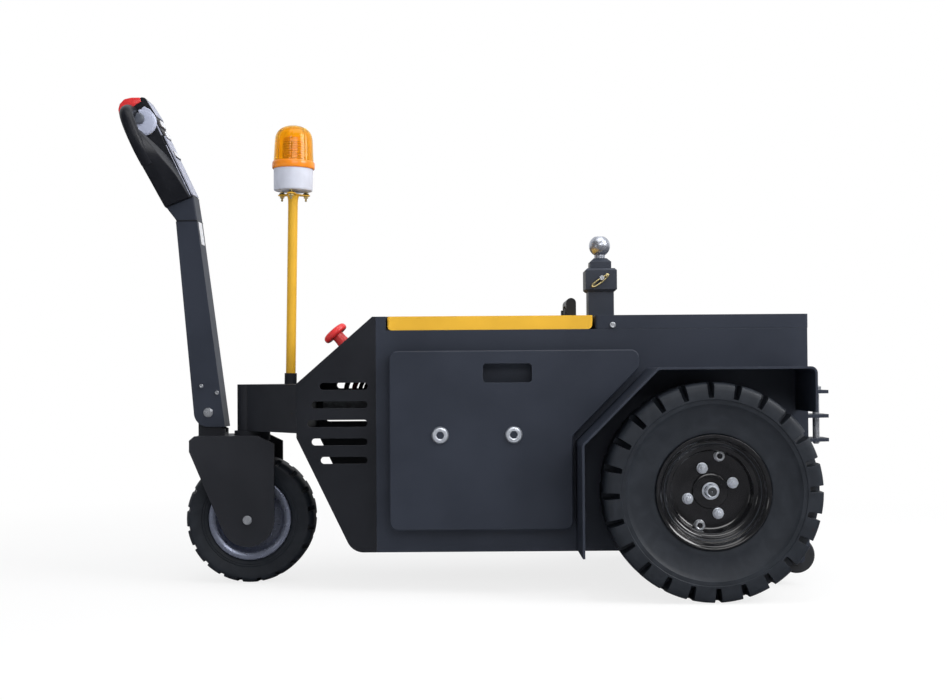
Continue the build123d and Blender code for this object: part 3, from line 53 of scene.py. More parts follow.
# Shader helpers
class Value:
    """A float socket or number that plain arithmetic works on."""

    def __init__(self, graph, socket):
        self.graph = graph
        self.socket = socket

    def math(self, operation, first, second):
        node = self.graph.node("ShaderNodeMath", {"operation": operation})
        self.graph.feed(node.inputs[0], first)
        self.graph.feed(node.inputs[1], second)
        return Value(self.graph, node.outputs[0])

    def __add__(self, other):
        return self.math("ADD", self, other)

    def __sub__(self, other):
        return self.math("SUBTRACT", self, other)

    def __rsub__(self, other):
        return self.math("SUBTRACT", other, self)

    def __mul__(self, other):
        return self.math("MULTIPLY", self, other)

    __radd__ = __add__
    __rmul__ = __mul__


class Graph:
    """The node tree of one material."""

    def __init__(self, name):
        self.material = bpy.data.materials.new(name)
        self.material.use_nodes = True
        self.tree = self.material.node_tree
        self.surface = self.tree.nodes["Principled BSDF"]
        self.place = self.node("ShaderNodeTexCoord").outputs["Object"]

    def feed(self, socket, value):
        if isinstance(value, Value):
            value = value.socket
        if isinstance(value, bpy.types.NodeSocket):
            self.tree.links.new(value, socket)
        else:
            socket.default_value = value

    def node(self, kind, settings=None, **inputs):
        node = self.tree.nodes.new(kind)
        for name, value in (settings or {}).items():
            setattr(node, name, value)
        for name, value in inputs.items():
            self.feed(node.inputs[name.replace("_", " ")], value)
        return node

    def noise(self, size, detail, stretch=None, distortion=0.0):
        """Noise from 0 to 1 whose blobs are about that many metres across."""
        vector = self.place
        if stretch:
            vector = self.node("ShaderNodeMapping", Vector=self.place, Scale=stretch).outputs[0]
        node = self.node("ShaderNodeTexNoise", Vector=vector, Scale=1 / size, Detail=detail,
                         Distortion=distortion)
        return Value(self, node.outputs["Fac"])

    def mix(self, factor, first, second):
        node = self.tree.nodes.new("ShaderNodeMix")
        node.data_type = "RGBA"
        self.feed(node.inputs["Factor"], factor)
        self.feed(node.inputs["A"], first)
        self.feed(node.inputs["B"], second)
        return node.outputs["Result"]

    def step(self, value, low, high):
        """0 below low, 1 above high, smooth between."""
        node = self.node("ShaderNodeMapRange", {"interpolation_type": "SMOOTHSTEP"})
        self.feed(node.inputs["Value"], value)
        node.inputs["From Min"].default_value = low
        node.inputs["From Max"].default_value = high
        return Value(self, node.outputs["Result"])

    def set(self, **inputs):
        for name, value in inputs.items():
            self.feed(self.surface.inputs[name.replace("_", " ")], value)

    def bump(self, height, distance, strength, radius=0.0):
        """Bump from a height, on normals rounded over the edges by that radius."""
        node = self.node("ShaderNodeBump", Height=height, Distance=distance, Strength=strength)
        if radius:
            rounded = self.node("ShaderNodeBevel", {"samples": 4}, Radius=radius)
            self.feed(node.inputs["Normal"], rounded.outputs[0])
        self.set(Normal=node.outputs[0])

    def edges(self, radius):
        """1 on convex and concave edges within that radius, 0 on flat faces."""
        rounded = self.node("ShaderNodeBevel", {"samples": 4}, Radius=radius).outputs[0]
        flat = self.node("ShaderNodeNewGeometry").outputs["Normal"]
        dot = self.node("ShaderNodeVectorMath", {"operation": "DOT_PRODUCT"})
        self.feed(dot.inputs[0], rounded)
        self.feed(dot.inputs[1], flat)
        return self.step(1.0 - Value(self, dot.outputs["Value"]), 0.01, 0.12)


def colour(red, green, blue):
    return (red, green, blue, 1.0)


def shifted(base, gain, lift=0.0):
    """The colour with each part multiplied and lifted."""
    return colour(*(gain * part + lift for part in base[:3]))


# Materials
def powder_coat(name, base, edge_wear_and_highlight=0.15, roughness=0.48):
    """Fine textured powder coat, slightly lighter along its edges: partly edge wear, partly a painted edge
    highlight.
    """
    graph = Graph(name)
    grain = graph.noise(1.1 * MM, 3.0)
    cloud = graph.noise(160 * MM, 3.0)
    smudge = graph.noise(45 * MM, 4.0, distortion=1.5)
    light = shifted(base, 1.08, 0.002)
    dark = shifted(base, 0.93)
    shade = graph.mix(graph.step(cloud, 0.3, 0.7), dark, light)
    # Lighter edges in patches: partly edge wear, partly a painted highlight along the edges
    edge = graph.edges(1.6 * MM) * edge_wear_and_highlight * graph.step(smudge, 0.35, 0.6)
    graph.set(Base_Color=graph.mix(edge, shade, colour(0.22, 0.23, 0.25)),
              Roughness=roughness + 0.10 * (smudge - 0.5) + 0.05 * (grain - 0.5), Specular_IOR_Level=0.22)
    graph.bump(grain, 0.07 * MM, 0.55, radius=1.2 * MM)
    return graph.material


def gloss_paint(name, base, roughness=0.14, coat=0.4):
    """Smooth wet paint with a light orange peel."""
    graph = Graph(name)
    peel = graph.noise(3.5 * MM, 1.0)
    dust = graph.noise(60 * MM, 4.0)
    graph.set(Base_Color=graph.mix(graph.step(dust, 0.5, 0.85) * 0.12, base, colour(0.08, 0.08, 0.09)),
              Roughness=roughness + 0.10 * graph.step(dust, 0.4, 0.8), Coat_Weight=coat, Coat_Roughness=0.12)
    graph.bump(peel, 0.05 * MM, 0.3, radius=0.8 * MM)
    return graph.material


def plated(name, tint, roughness=0.3, streak=0.5, metallic=0.8):
    """Plated steel with fine drawing lines and dull patches."""
    graph = Graph(name)
    lines = graph.noise(0.5 * MM, 2.0, stretch=(1.0, 1.0, 14.0))
    patch = graph.noise(9 * MM, 3.0, distortion=0.6)
    dull = shifted(tint, 0.62)
    graph.set(Base_Color=graph.mix(graph.step(patch, 0.35, 0.75) * 0.6, tint, dull), Metallic=metallic,
              Roughness=roughness + 0.2 * (patch - 0.5) + 0.12 * (lines - 0.5))
    graph.bump(lines, 0.03 * MM, streak, radius=0.5 * MM)
    return graph.material


def rubber(name, base, roughness, dust=0.3):
    """Moulded rubber: a dull skin with fine pores and pale dust in its texture."""
    graph = Graph(name)
    pores = graph.noise(0.9 * MM, 4.0)
    film = graph.noise(38 * MM, 5.0, distortion=1.0)
    pale = shifted(base, 1.9, 0.007)
    graph.set(Base_Color=graph.mix(graph.step(film, 0.35, 0.75) * dust, base, pale),
              Roughness=roughness + 0.14 * (film - 0.5), Specular_IOR_Level=0.3)
    graph.bump(pores, 0.12 * MM, 0.5, radius=0.9 * MM)
    return graph.material


def plastic(name, base, roughness=0.42, shine=0.5, relief=0.05 * MM):
    """Moulded plastic with a fine spark-eroded grain."""
    graph = Graph(name)
    grain = graph.noise(0.7 * MM, 3.0)
    handling = graph.noise(28 * MM, 3.0)
    lifted = shifted(base, 1.12, 0.001)
    graph.set(Base_Color=graph.mix(graph.step(handling, 0.35, 0.7), base, lifted),
              Roughness=roughness + 0.10 * (handling - 0.5) + 0.05 * (grain - 0.5), Specular_IOR_Level=shine)
    graph.bump(grain, relief, 0.5, radius=0.7 * MM)
    return graph.material


def amber_lens(name, base):
    """Clear orange plastic, milky in its thickness."""
    graph = Graph(name)
    flow = graph.noise(22 * MM, 2.0)
    graph.set(Base_Color=graph.mix(flow, base, colour(1.0, 0.62, 0.02)),
              Roughness=0.05 + 0.05 * flow, Transmission_Weight=0.86, IOR=1.35, Specular_IOR_Level=0.3)
    graph.bump(flow, 0.2 * MM, 0.2)
    return graph.material


def hazed(name, base):
    """Cast or painted metal with an oily haze."""
    graph = Graph(name)
    haze = graph.noise(14 * MM, 5.0, distortion=0.8)
    cast = graph.noise(1.8 * MM, 4.0)
    graph.set(Base_Color=graph.mix(graph.step(haze, 0.35, 0.7), base, shifted(base, 0.55)),
              Roughness=0.5 + 0.25 * (haze - 0.5), Metallic=0.35)
    graph.bump(cast, 0.18 * MM, 0.6, radius=1.5 * MM)
    return graph.material


CHARCOAL = powder_coat("charcoal_powder_coat", colour(0.0218, 0.0268, 0.0405))
MAST_COAT = powder_coat("mast_powder_coat", colour(0.028, 0.0335, 0.048))
DARK_COAT = powder_coat("dark_powder_coat", colour(0.0092, 0.0105, 0.0148))
NECK_COAT = powder_coat("neck_powder_coat", colour(0.0148, 0.0162, 0.0212))
FORK_COAT = powder_coat("fork_powder_coat", colour(0.0168, 0.0182, 0.0235))
YELLOW = powder_coat("yellow_powder_coat", colour(0.68, 0.38, 0.030), edge_wear_and_highlight=0.0, roughness=0.36)
GLOSS_BLACK = gloss_paint("gloss_black_paint", colour(0.006, 0.006, 0.007))
RIM_SILVER = plated("silver_rim_metal", colour(0.33, 0.36, 0.47), roughness=0.3, streak=0.1, metallic=0.75)
ZINC = plated("zinc_plate", colour(0.60, 0.62, 0.66))
BRIGHT_ZINC = plated("bright_zinc_plate", colour(0.80, 0.84, 0.92), roughness=0.32, streak=0.1, metallic=0.75)
YELLOW_ZINC = plated("yellow_zinc_plate", colour(0.72, 0.60, 0.30), roughness=0.26)
BALL_STEEL = plated("turned_steel", colour(0.50, 0.52, 0.58), roughness=0.34, streak=0.15, metallic=0.88)
TYRE_RUBBER = rubber("tyre_rubber", colour(0.0108, 0.0138, 0.0195), roughness=0.52)
SOFT_RUBBER = rubber("roller_rubber", colour(0.02, 0.021, 0.024), dust=0.15, roughness=0.6)
BLACK_PLASTIC = plastic("black_grained_plastic", colour(0.009, 0.0102, 0.014), shine=0.25)
LOOP_PLASTIC = plastic("grip_plastic", colour(0.0068, 0.0078, 0.0115), roughness=0.4, shine=0.22,
                       relief=0.03 * MM)
GREY_PLASTIC = plastic("light_grey_plastic", colour(0.32, 0.335, 0.415), roughness=0.4, shine=0.3)
DISC_PLASTIC = plastic("disc_grey_plastic", colour(0.40, 0.43, 0.55), roughness=0.34)
BUTTON_PLASTIC = plastic("key_brown_plastic", colour(0.05, 0.046, 0.046), roughness=0.38)
KNOB_PLASTIC = plastic("knob_grey_plastic", colour(0.08, 0.09, 0.115), roughness=0.36)
RED_PLASTIC = plastic("red_plastic", colour(0.62, 0.028, 0.03), roughness=0.3, relief=0.02 * MM)
BEACON_GREY = plastic("beacon_grey_plastic", colour(0.50, 0.52, 0.60), roughness=0.4, relief=0.02 * MM)
AMBER = amber_lens("amber_lens", colour(1.0, 0.54, 0.015))
DRUM_AMBER = plastic("amber_drum", colour(0.72, 0.36, 0.06), roughness=0.3)
ORANGE_PLASTIC = plastic("orange_ring_plastic", colour(0.74, 0.22, 0.012), roughness=0.2, relief=0.01 * MM)
LABEL_WHITE = plastic("label_film", colour(0.62, 0.63, 0.66), roughness=0.3, relief=0.01 * MM)
BATTERY_CASE = plastic("battery_plastic", colour(0.03, 0.031, 0.034), roughness=0.5)
CAST = hazed("painted_casting", colour(0.05, 0.055, 0.062))
RED_CABLE = plastic("red_cable_jacket", colour(0.34, 0.012, 0.012), roughness=0.45)
CABLE_BLACK = plastic("black_cable_jacket", colour(0.012, 0.012, 0.014), roughness=0.45)


# Mesh helpers
def metres(points):
    """Pairs given in millimetres, as metres."""
    return [(first * MM, second * MM) for first, second in points]


def centre_of(node):
    low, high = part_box(node)
    return (low + high) / 2


def add(name, data):
    """A new object in the scene."""
    obj = bpy.data.objects.new(name, data)
    bpy.context.scene.collection.objects.link(obj)
    return obj


def piece(name, bm, material, body, replaces=(), bevel=0.0, segments=2, limit=35):
    """Makes an object from a bmesh, rounds its sharp edges and lets it ride on a body."""
    bmesh.ops.remove_doubles(bm, verts=bm.verts, dist=0.01 * MM)
    bmesh.ops.dissolve_degenerate(bm, edges=bm.edges, dist=0.005 * MM)
    bmesh.ops.recalc_face_normals(bm, faces=bm.faces)
    mesh = bpy.data.meshes.new(name)
    bm.to_mesh(mesh)
    bm.free()
    for face in mesh.polygons:
        face.use_smooth = True
    mesh.set_sharp_from_angle(angle=radians(limit))
    mesh.materials.append(material)
    obj = add(name, mesh)
    if bevel:
        modifier = obj.modifiers.new("edges", "BEVEL")
        modifier.width = bevel
        modifier.segments = segments
        modifier.limit_method = "ANGLE"
        modifier.angle_limit = radians(limit)
        modifier.harden_normals = True
    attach(obj, body)
    if replaces:
        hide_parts(*replaces)


def around(bm, rings):
    """Faces between open rings of vertices, and from the last back to the first."""
    for near, far in zip(rings, rings[1:] + rings[:1]):
        for place in range(len(near) - 1):
            bm.faces.new((near[place], near[place + 1], far[place + 1], far[place]))


def lathe(bm, profile, to_world, steps, turn=None):
    """Revolves (radius, height) points; to_world takes x, y across and z along the axis."""
    rings = []
    for step in range(steps):
        angle = 2 * pi * step / steps
        ring = []
        for radius, height in profile:
            if turn:
                radius, height = turn(angle, radius, height)
            ring.append(bm.verts.new(to_world(radius * cos(angle), radius * sin(angle), height)))
        rings.append(ring)
    around(bm, rings)


def loft(bm, rings):
    """Skins between rings of points that have the same count, with both ends closed."""
    made = [[bm.verts.new(point) for point in ring] for ring in rings]
    for near, far in zip(made, made[1:]):
        for place in range(len(near)):
            after = (place + 1) % len(near)
            bm.faces.new((near[place], near[after], far[after], far[place]))
    bm.faces.new(made[0])
    bm.faces.new(made[-1])


def slab(bm, outline, to_world, low, high):
    """Extrudes a closed (u, v) outline between two heights."""
    loft(bm, [[to_world(u, v, level) for u, v in outline] for level in (low, high)])


def rounded(points, radius, steps=5):
    """The closed outline with its corners rounded; radius is a number or one value for each corner."""
    result = []
    count = len(points)
    radii = radius if isinstance(radius, tuple) else [radius] * count
    for place in range(count):
        corner = Vector(points[place])
        before = Vector(points[place - 1]) - corner
        after = Vector(points[(place + 1) % count]) - corner
        room = 0.49 * min(before.length, after.length)
        before.normalize()
        after.normalize()
        half = before.angle(after) / 2
        reach = min(radii[place] / max(abs(sin(half) / cos(half)), 0.05), room) if cos(half) > 1e-4 else 0
        for step in range(steps + 1):
            share = step / steps
            first = corner + before * reach * (1 - share)
            second = corner + after * reach * share
            result.append(tuple(first.lerp(second, share)))
    return result


def rectangle(u0, u1, v0, v1):
    return [(u0, v0), (u1, v0), (u1, v1), (u0, v1)]


def smooth_path(points, steps=8):
    """Catmull-Rom curve through the points."""
    points = [Vector(point) for point in points]
    count = len(points)
    result = []
    for span in range(count - 1):
        p1, p2 = points[span], points[span + 1]
        p0 = points[span - 1] if span else 2 * p1 - p2
        p3 = points[span + 2] if span + 2 < count else 2 * p2 - p1
        for step in range(steps):
            t = step / steps
            result.append(0.5 * (2 * p1 + (p2 - p0) * t + (2 * p0 - 5 * p1 + 4 * p2 - p3) * t * t
                                 + (3 * p1 - p0 - 3 * p2 + p3) * t ** 3))
    result.append(points[-1])
    return result


def tube(bm, path, radius, steps):
    """Sweeps a round section along a path."""
    last = len(path) - 1
    angles = [2 * pi * step / steps for step in range(steps)]
    tangents = [(path[min(k + 1, last)] - path[max(k - 1, 0)]).normalized() for k in range(last + 1)]
    normal = tangents[0].orthogonal().normalized()
    rings = []
    for middle, tangent in zip(path, tangents):
        normal = (normal - tangent * normal.dot(tangent)).normalized()
        side = tangent.cross(normal)
        rings.append([middle + radius * (normal * cos(angle) + side * sin(angle)) for angle in angles])
    loft(bm, rings)


def facing(origin, out, up=(0, 0, 1)):
    """Map from local x, y in a plane and z out of it to the world."""
    out = Vector(out).normalized()
    across = Vector(up).cross(out).normalized()
    true_up = out.cross(across)
    origin = Vector(origin)
    return lambda x, y, z: origin + across * x + true_up * y + out * z


def cap_screw(bm, to_world, radius, height, socket=0.0):
    """Domed screw head with a hexagonal socket."""
    rim = 0.18 * radius
    socket = socket or 0.5 * radius
    profile = [(radius, 0), (radius, height - rim), (radius - 0.3 * rim, height - 0.3 * rim),
               (radius - rim, height), (socket * 1.12, height), (socket, height - 0.05 * radius),
               (socket * 0.95, height * 0.4), (0.0001 * MM, height * 0.4)]
    lathe(bm, profile, to_world, steps=36,
          turn=lambda angle, r, h: (r * hex_share(angle) if r <= socket else r, h))


def hex_share(angle):
    """Radius of a hexagon over its corner radius at that angle."""
    sixth = pi / 3
    return cos(sixth / 2) / cos((angle % sixth) - sixth / 2)


def hex_head(bm, to_world, radius, low, high):
    """Hexagon nut or bolt head with chamfered corners."""
    flat = cos(pi / 6) * radius
    profile = [(radius, low), (radius, high - 0.14 * radius), (flat, high), (0.0001 * MM, high)]
    lathe(bm, profile, to_world, steps=48, turn=lambda angle, r, h: (min(r, radius * hex_share(angle)), h))


# Each side's name, with the way it lies along Y
SIDES = (("left", -1), ("right", 1))


# Wheels
def tyre(name, node, body, radius, width, side_profile, lugs, depth, grooves_from, shift):
    """Solid tyre: side_profile runs from the crown's middle to the bead as (radius, distance).

    The grooves of one shoulder lie halfway between those of the other, and shift is in lug pitches.
    """
    centre = centre_of(node)
    half = width / 2
    floor_r = radius - depth
    # Shares of a pitch at which the section is repeated, with both grooves' edges among them
    phases = [-0.125, -0.10, 0.0, 0.10, 0.125, 0.25, 0.375, 0.40, 0.5, 0.60, 0.625, 0.75]
    deep_right = {-0.10, 0.0, 0.10}
    deep_left = {0.40, 0.5, 0.60}

    def floor(distance):
        share = min(max((distance - grooves_from) / (half - grooves_from), 0), 1)
        return radius - depth * (1 - (1 - share) ** 2.5)

    bm = bmesh.new()
    profile = [(r, y) for r, y in reversed(side_profile)] + [(r, -y) for r, y in side_profile[1:]]
    rings = []
    for lug in range(lugs):
        for phase in phases:
            angle = 2 * pi * (lug + phase + shift) / lugs
            ring = []
            for r, y in profile:
                deep = phase in (deep_right if y > 0 else deep_left)
                if deep and r > floor_r - 0.5 * MM and abs(y) > grooves_from:
                    r = min(r, floor(abs(y)))
                ring.append(bm.verts.new((centre[0] + r * cos(angle), centre[1] + y,
                                          centre[2] + r * sin(angle))))
            rings.append(ring)
    around(bm, rings)
    # Bead seat, which closes the section against the rim
    for near, far in zip(rings, rings[1:] + rings[:1]):
        bm.faces.new((near[0], far[0], far[-1], near[-1]))
    piece(name, bm, TYRE_RUBBER, body, replaces=(node,), bevel=0.9 * MM, limit=32)


rear_low, rear_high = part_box("rear_tyre_left")
REAR_R = (rear_high.z - rear_low.z) / 2
REAR_WIDTH = rear_high.y - rear_low.y
REAR_SIDE = metres((
    (232.5, 0), (232.5, 5), (232.5, 10), (232.5, 18), (232.3, 30), (231.8, 42), (230.6, 51), (227.5, 57.5),
    (222.5, 60.8), (214, 62), (206, 62.4), (199.5, 62.5), (195.8, 62.4), (194.6, 60.6), (186, 59.8),
    (184.2, 57.6), (176, 54.8), (164, 51.4), (150, 48.8), (138, 48), (129, 48.4), (124.2, 47.6),
    (122.4, 45), (118, 42.6), (102, 37.5)))
FRONT_SIDE = metres((
    (150, 0), (150, 5), (150, 9), (149.9, 16), (149.6, 27), (148.6, 36), (146.2, 42.5), (142.5, 46.8),
    (139.5, 49.2), (137, 50), (134.5, 49.8), (128, 48.8), (119, 46.6), (112.5, 44.6), (111.6, 43),
    (107.5, 42.2), (106.6, 40.9), (101.5, 39.4), (98.5, 37.4), (97, 35.4), (84, 30)))
for side in ("left", "right"):
    tyre(f"solid_tyre_{side}", f"rear_tyre_{side}", f"rear_wheel_{side}", REAR_R, REAR_WIDTH, REAR_SIDE,
         lugs=24, depth=33 * MM, grooves_from=10 * MM, shift=0.61)
tyre("solid_tyre_front", "front_tyre", "front_wheel", 150 * MM, 100 * MM, FRONT_SIDE,
     lugs=20, depth=11 * MM, grooves_from=9 * MM, shift=0.0)
FRONT_MIDDLE = centre_of("front_tyre")

# Bolt circles of the rear wheels
STUD_CIRCLE = 77 * MM
STUD_ANGLES = (75, 252)
NUT_CIRCLE = 51 * MM
NUT_ANGLES = (19, 109, 199, 289)


def wheel_axes(centre, sign):
    """Local map of a wheel: x forward, y up, z out of the machine."""
    return lambda x, y, z: centre + Vector((x, sign * z, y))


def on_circle(place, sign, radius, angle):
    """Local map of a bolt on a wheel's bolt circle, at that angle in degrees."""
    return wheel_axes(place(radius * cos(radians(angle)), radius * sin(radians(angle)), 0), sign)


def rear_wheel(side, sign):
    """Pressed rim with its nuts, studs, cap and flange."""
    centre = centre_of(f"rear_tyre_{side}")
    place = wheel_axes(centre, sign)
    bm = bmesh.new()
    outer = [(101.7, 0), (101.7, 37), (112, 41.5), (118, 45.5), (121, 47.8), (122, 50), (121.2, 51.4),
             (119, 51.5), (116.5, 50.4), (113, 47.6), (110.6, 44), (109, 41), (107.4, 39.2), (105.2, 38.6),
             (102.6, 37.6), (100, 35.2), (97.6, 31.6), (95, 29.2), (91.6, 28.6), (89, 28), (87.6, 25.6),
             (87, 20), (86.4, 12), (85, 7.2), (81.6, 5), (76, 4.2), (62, 4.6), (48, 4.2), (38, 4.2)]
    inner = [(38, -1.4), (78, -1.4), (86, 0.8), (90, 5.6), (91.6, 13), (92.4, 21), (95.8, 25), (95.8, 0),
             (95.8, -36), (98, -38.6), (104, -41.5), (109.5, -46.6), (116.5, -50.2), (119, -51.5),
             (121.2, -51.4), (122, -50), (121, -47.8), (118, -45.5), (112, -41.5), (101.7, -37), (101.7, 0)]
    lathe(bm, metres(outer + inner), place, steps=128)
    piece(f"pressed_rim_{side}", bm, GLOSS_BLACK, f"rear_wheel_{side}",
          replaces=(f"rear_rim_{side}",), bevel=0.5 * MM)

    bm = bmesh.new()
    bore_shade_discs = bmesh.new()
    for angle in STUD_ANGLES:
        spot = on_circle(place, sign, STUD_CIRCLE, angle)
        lathe(bm, metres(((12.2, 4), (12, 5.6), (10.9, 6.4), (10.8, 12.2), (9.8, 14.2), (7.4, 14.6),
                          (6, 13.8), (5.6, 12), (5.5, 8), (0.01, 7.6))), spot, steps=40)
        # A gloss black disc near the top of each stud's bore paints the shade inside the hollow
        lathe(bore_shade_discs, metres([(5.8, 12.6), (0.01, 12.6)]), spot, steps=24)
    piece(f"stud_bore_painted_shade_{side}", bore_shade_discs, GLOSS_BLACK, f"rear_wheel_{side}")
    piece(f"rim_studs_{side}", bm, ZINC, f"rear_wheel_{side}", bevel=0.3 * MM)

    bm = bmesh.new()
    hub = [(37.7, -2), (37.7, 6.4), (37.2, 8), (35.6, 8.8), (31, 8.9), (24, 9.2), (20.4, 10), (0.01, 10)]
    lathe(bm, metres(hub), place, steps=72)
    # Flange behind the rim and the shaft that runs into the drive unit
    axle_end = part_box("drive_unit")[1].y / MM - abs(centre.y) / MM + 5
    flange = [(37.7, -1.7), (72, -1.7), (72, -13), (48, -19), (44, axle_end), (22, axle_end),
              (22, axle_end - 50), (0.01, axle_end - 50)]
    lathe(bm, metres(flange), place, steps=72)
    piece(f"hub_cap_{side}", bm, GLOSS_BLACK, f"rear_wheel_{side}",
          replaces=(f"rear_hub_{side}",), bevel=0.4 * MM)

    bm = bmesh.new()
    for angle in NUT_ANGLES:
        spot = on_circle(place, sign, NUT_CIRCLE, angle)
        lathe(bm, metres(((11.9, 4), (11.9, 5.6), (11.4, 6.2), (9.5, 6.4))), spot, steps=36)
        hex_head(bm, spot, 11 * MM, 6 * MM, 16.4 * MM)
        lathe(bm, metres(((5.9, 15.8), (5.9, 20.6), (4.6, 22), (0.01, 22))), spot, steps=24)
    # Bearing nut in the cap: ring, nut and the shaft's end with its centre hole
    lathe(bm, metres(((18.6, 9.8), (18.6, 12), (17.8, 12.8), (14.6, 13), (14, 12))), place, steps=56)
    hex_head(bm, place, 14.6 * MM, 12 * MM, 30.4 * MM)
    lathe(bm, metres(((12.6, 30), (12.6, 32.6), (11.8, 33.4), (9.9, 33.4), (9.7, 31.4))), place, steps=40)
    piece(f"wheel_nuts_{side}", bm, BRIGHT_ZINC, f"rear_wheel_{side}", bevel=0.4 * MM)
    bm = bmesh.new()
    lathe(bm, metres(((9.8, 31.6), (9.6, 32.4), (6.4, 32.8), (3, 32.9), (2.7, 31.4), (0.01, 29.8))), place,
          steps=40)
    piece(f"shaft_end_{side}", bm, CAST, f"rear_wheel_{side}")


for side, sign in SIDES:
    rear_wheel(side, sign)


def front_wheel():
    """Cast front rim with its hub."""
    place = wheel_axes(FRONT_MIDDLE, 1)
    half = [(8.05, 62), (20, 62), (22, 61.4), (26, 60.4), (26.6, 40), (28.5, 15), (33, 10.5), (52, 7.6),
            (68, 7.2), (73.5, 10.5), (76.5, 20), (78, 33), (80.5, 38.6), (86, 41.2), (91.5, 42.2),
            (94.5, 42), (96.2, 40.6), (96.8, 38.4), (95.6, 37), (91, 35.2), (84, 30.6)]
    bm = bmesh.new()
    whole = half + [(84, 0)] + [(r, -z) for r, z in reversed(half)] + [half[0]]
    lathe(bm, metres(whole), place, steps=112)
    piece("cast_rim_front", bm, RIM_SILVER, "front_wheel", replaces=("front_rim",),
          bevel=0.5 * MM)


front_wheel()

# Tiller head, in local terms: across runs from the front face to the rear, along up its length
HEAD_LEAN = radians(21)
HEAD_ORIGIN = Vector((-724.5 * MM, 0, 885 * MM))
HEAD_ACROSS = Vector((cos(HEAD_LEAN), 0, sin(HEAD_LEAN)))
HEAD_ALONG = Vector((-sin(HEAD_LEAN), 0, cos(HEAD_LEAN)))
HEAD_TAPER = 0.075


def head(across, y, along):
    """World point of a place on the tiller head, given in millimetres."""
    return HEAD_ORIGIN + HEAD_ACROSS * across * MM + Vector((0, y * MM, 0)) + HEAD_ALONG * along * MM


def head_side(u, v, w):
    return head(u, w, v)


def rear_face(u, v, w):
    """u to the side, v along and w out of the head's rear face."""
    return head(66.5 - HEAD_TAPER * v + w, u, v)


def tiller_console():
    """Core of the head between the loops, and the sleeve that joins it to the column."""
    bm = bmesh.new()
    core = rounded([(1, -1), (64, -1), (57.3, 90), (50.8, 176), (51.5, 192), (57.5, 207), (49.3, 255.5),
                    (47, 258.5), (41.8, 261.5), (38.6, 261.8), (37.4, 252.2), (13.5, 247.6), (7.4, 231),
                    (7.4, 60)], (3, 2, 20, 10, 8, 4, 3, 3, 1, 1, 2, 3, 3, 10))
    slab(bm, core, head_side, -37.8, 37.8)
    piece("console_core", bm, BLACK_PLASTIC, "tiller", replaces=("tiller_head",),
          bevel=3 * MM, segments=3)
    # Sleeve, with a bead at each end
    bm = bmesh.new()
    column_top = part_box("tiller_column")[1].z

    def side(u, v, w):
        return Vector((u, w, v))

    foot = [(-698 * MM, column_top + 0.6 * MM), (-649.8 * MM, column_top + 0.6 * MM),
            (-658.9 * MM, 910.2 * MM), (-724 * MM, 884.6 * MM)]
    slab(bm, foot, side, -33.5 * MM, 33.5 * MM)
    piece("console_sleeve", bm, CHARCOAL, "tiller", bevel=3 * MM, segments=3)
    bm = bmesh.new()
    top = [(-724.4, 886.3), (-723.6, 882.2), (-658.7, 907.9), (-659.4, 911.6)]
    slab(bm, metres(top), side, -35.6 * MM, 35.6 * MM)
    low = [(-699.6, 850.6), (-699.9, 853.8), (-649.9, 853.8), (-649.5, 850.6)]
    slab(bm, metres(low), side, -34.2 * MM, 34.2 * MM)
    piece("sleeve_beads", bm, BLACK_PLASTIC, "tiller", bevel=1 * MM)


# Table of a cheek's sections: along, inner edge, its depth, ridge's depth, ridge and flank from the middle
CHEEK_SECTIONS = [
    (-1.5, 30, 63.5, 62, 44, 46.5), (8, 30, 63.4, 61.2, 51, 54.5), (24, 30, 62.5, 60, 62, 66.5),
    (50, 30, 61, 57, 78, 84), (66, 30, 59.6, 53.4, 87, 95), (78, 31, 58, 49.6, 94, 104),
    (89, 35, 56, 46, 100.5, 112.5), (99, 43, 53, 43, 106.5, 120.5), (110, 55, 49.5, 40, 112.5, 128),
    (122, 69, 45.4, 36.6, 118, 134.5), (135, 86, 40, 33, 123, 139.8), (150, 102, 33, 28, 127, 143),
    (165, 110, 26.5, 23.5, 129, 143.6), (182, 117, 15, 13, 129, 141),
]
LOOP_PATH = [(96, 104), (124, 121), (150, 128), (178, 129.5), (201, 127), (216, 117), (225, 98), (231, 74),
             (233, 54), (233, 37)]


def loop_lean(along):
    """How far the loops stand ahead of the console's front face."""
    return 2 + 6 * min(max(along, 0) / 180, 1)


def tiller_loops():
    """Two hand loops whose feet flare into broad side cheeks."""
    for side, sign in SIDES:
        bm = bmesh.new()
        path = smooth_path([head(15.5 - loop_lean(along), sign * y, along) for along, y in LOOP_PATH])
        tube(bm, path, 15.45 * MM, steps=32)
        piece(f"hand_loop_{side}", bm, LOOP_PLASTIC, "tiller")
        bm = bmesh.new()
        rings = []
        for along, near, rear, ridge, ridge_y, far in CHEEK_SECTIONS:
            front = 1.5 - loop_lean(along)
            corners = [(front, near), (rear, near), (ridge, ridge_y), (0.45 * ridge, far), (front + 4.5, far),
                       (front, far - 5)]
            radii = (1.5, 3, 4, 16, 5, 5)
            rings.append([head(a, sign * y, along) for a, y in rounded(corners, radii)])
        loft(bm, rings)
        piece(f"loop_cheek_{side}", bm, LOOP_PLASTIC, "tiller", limit=30)


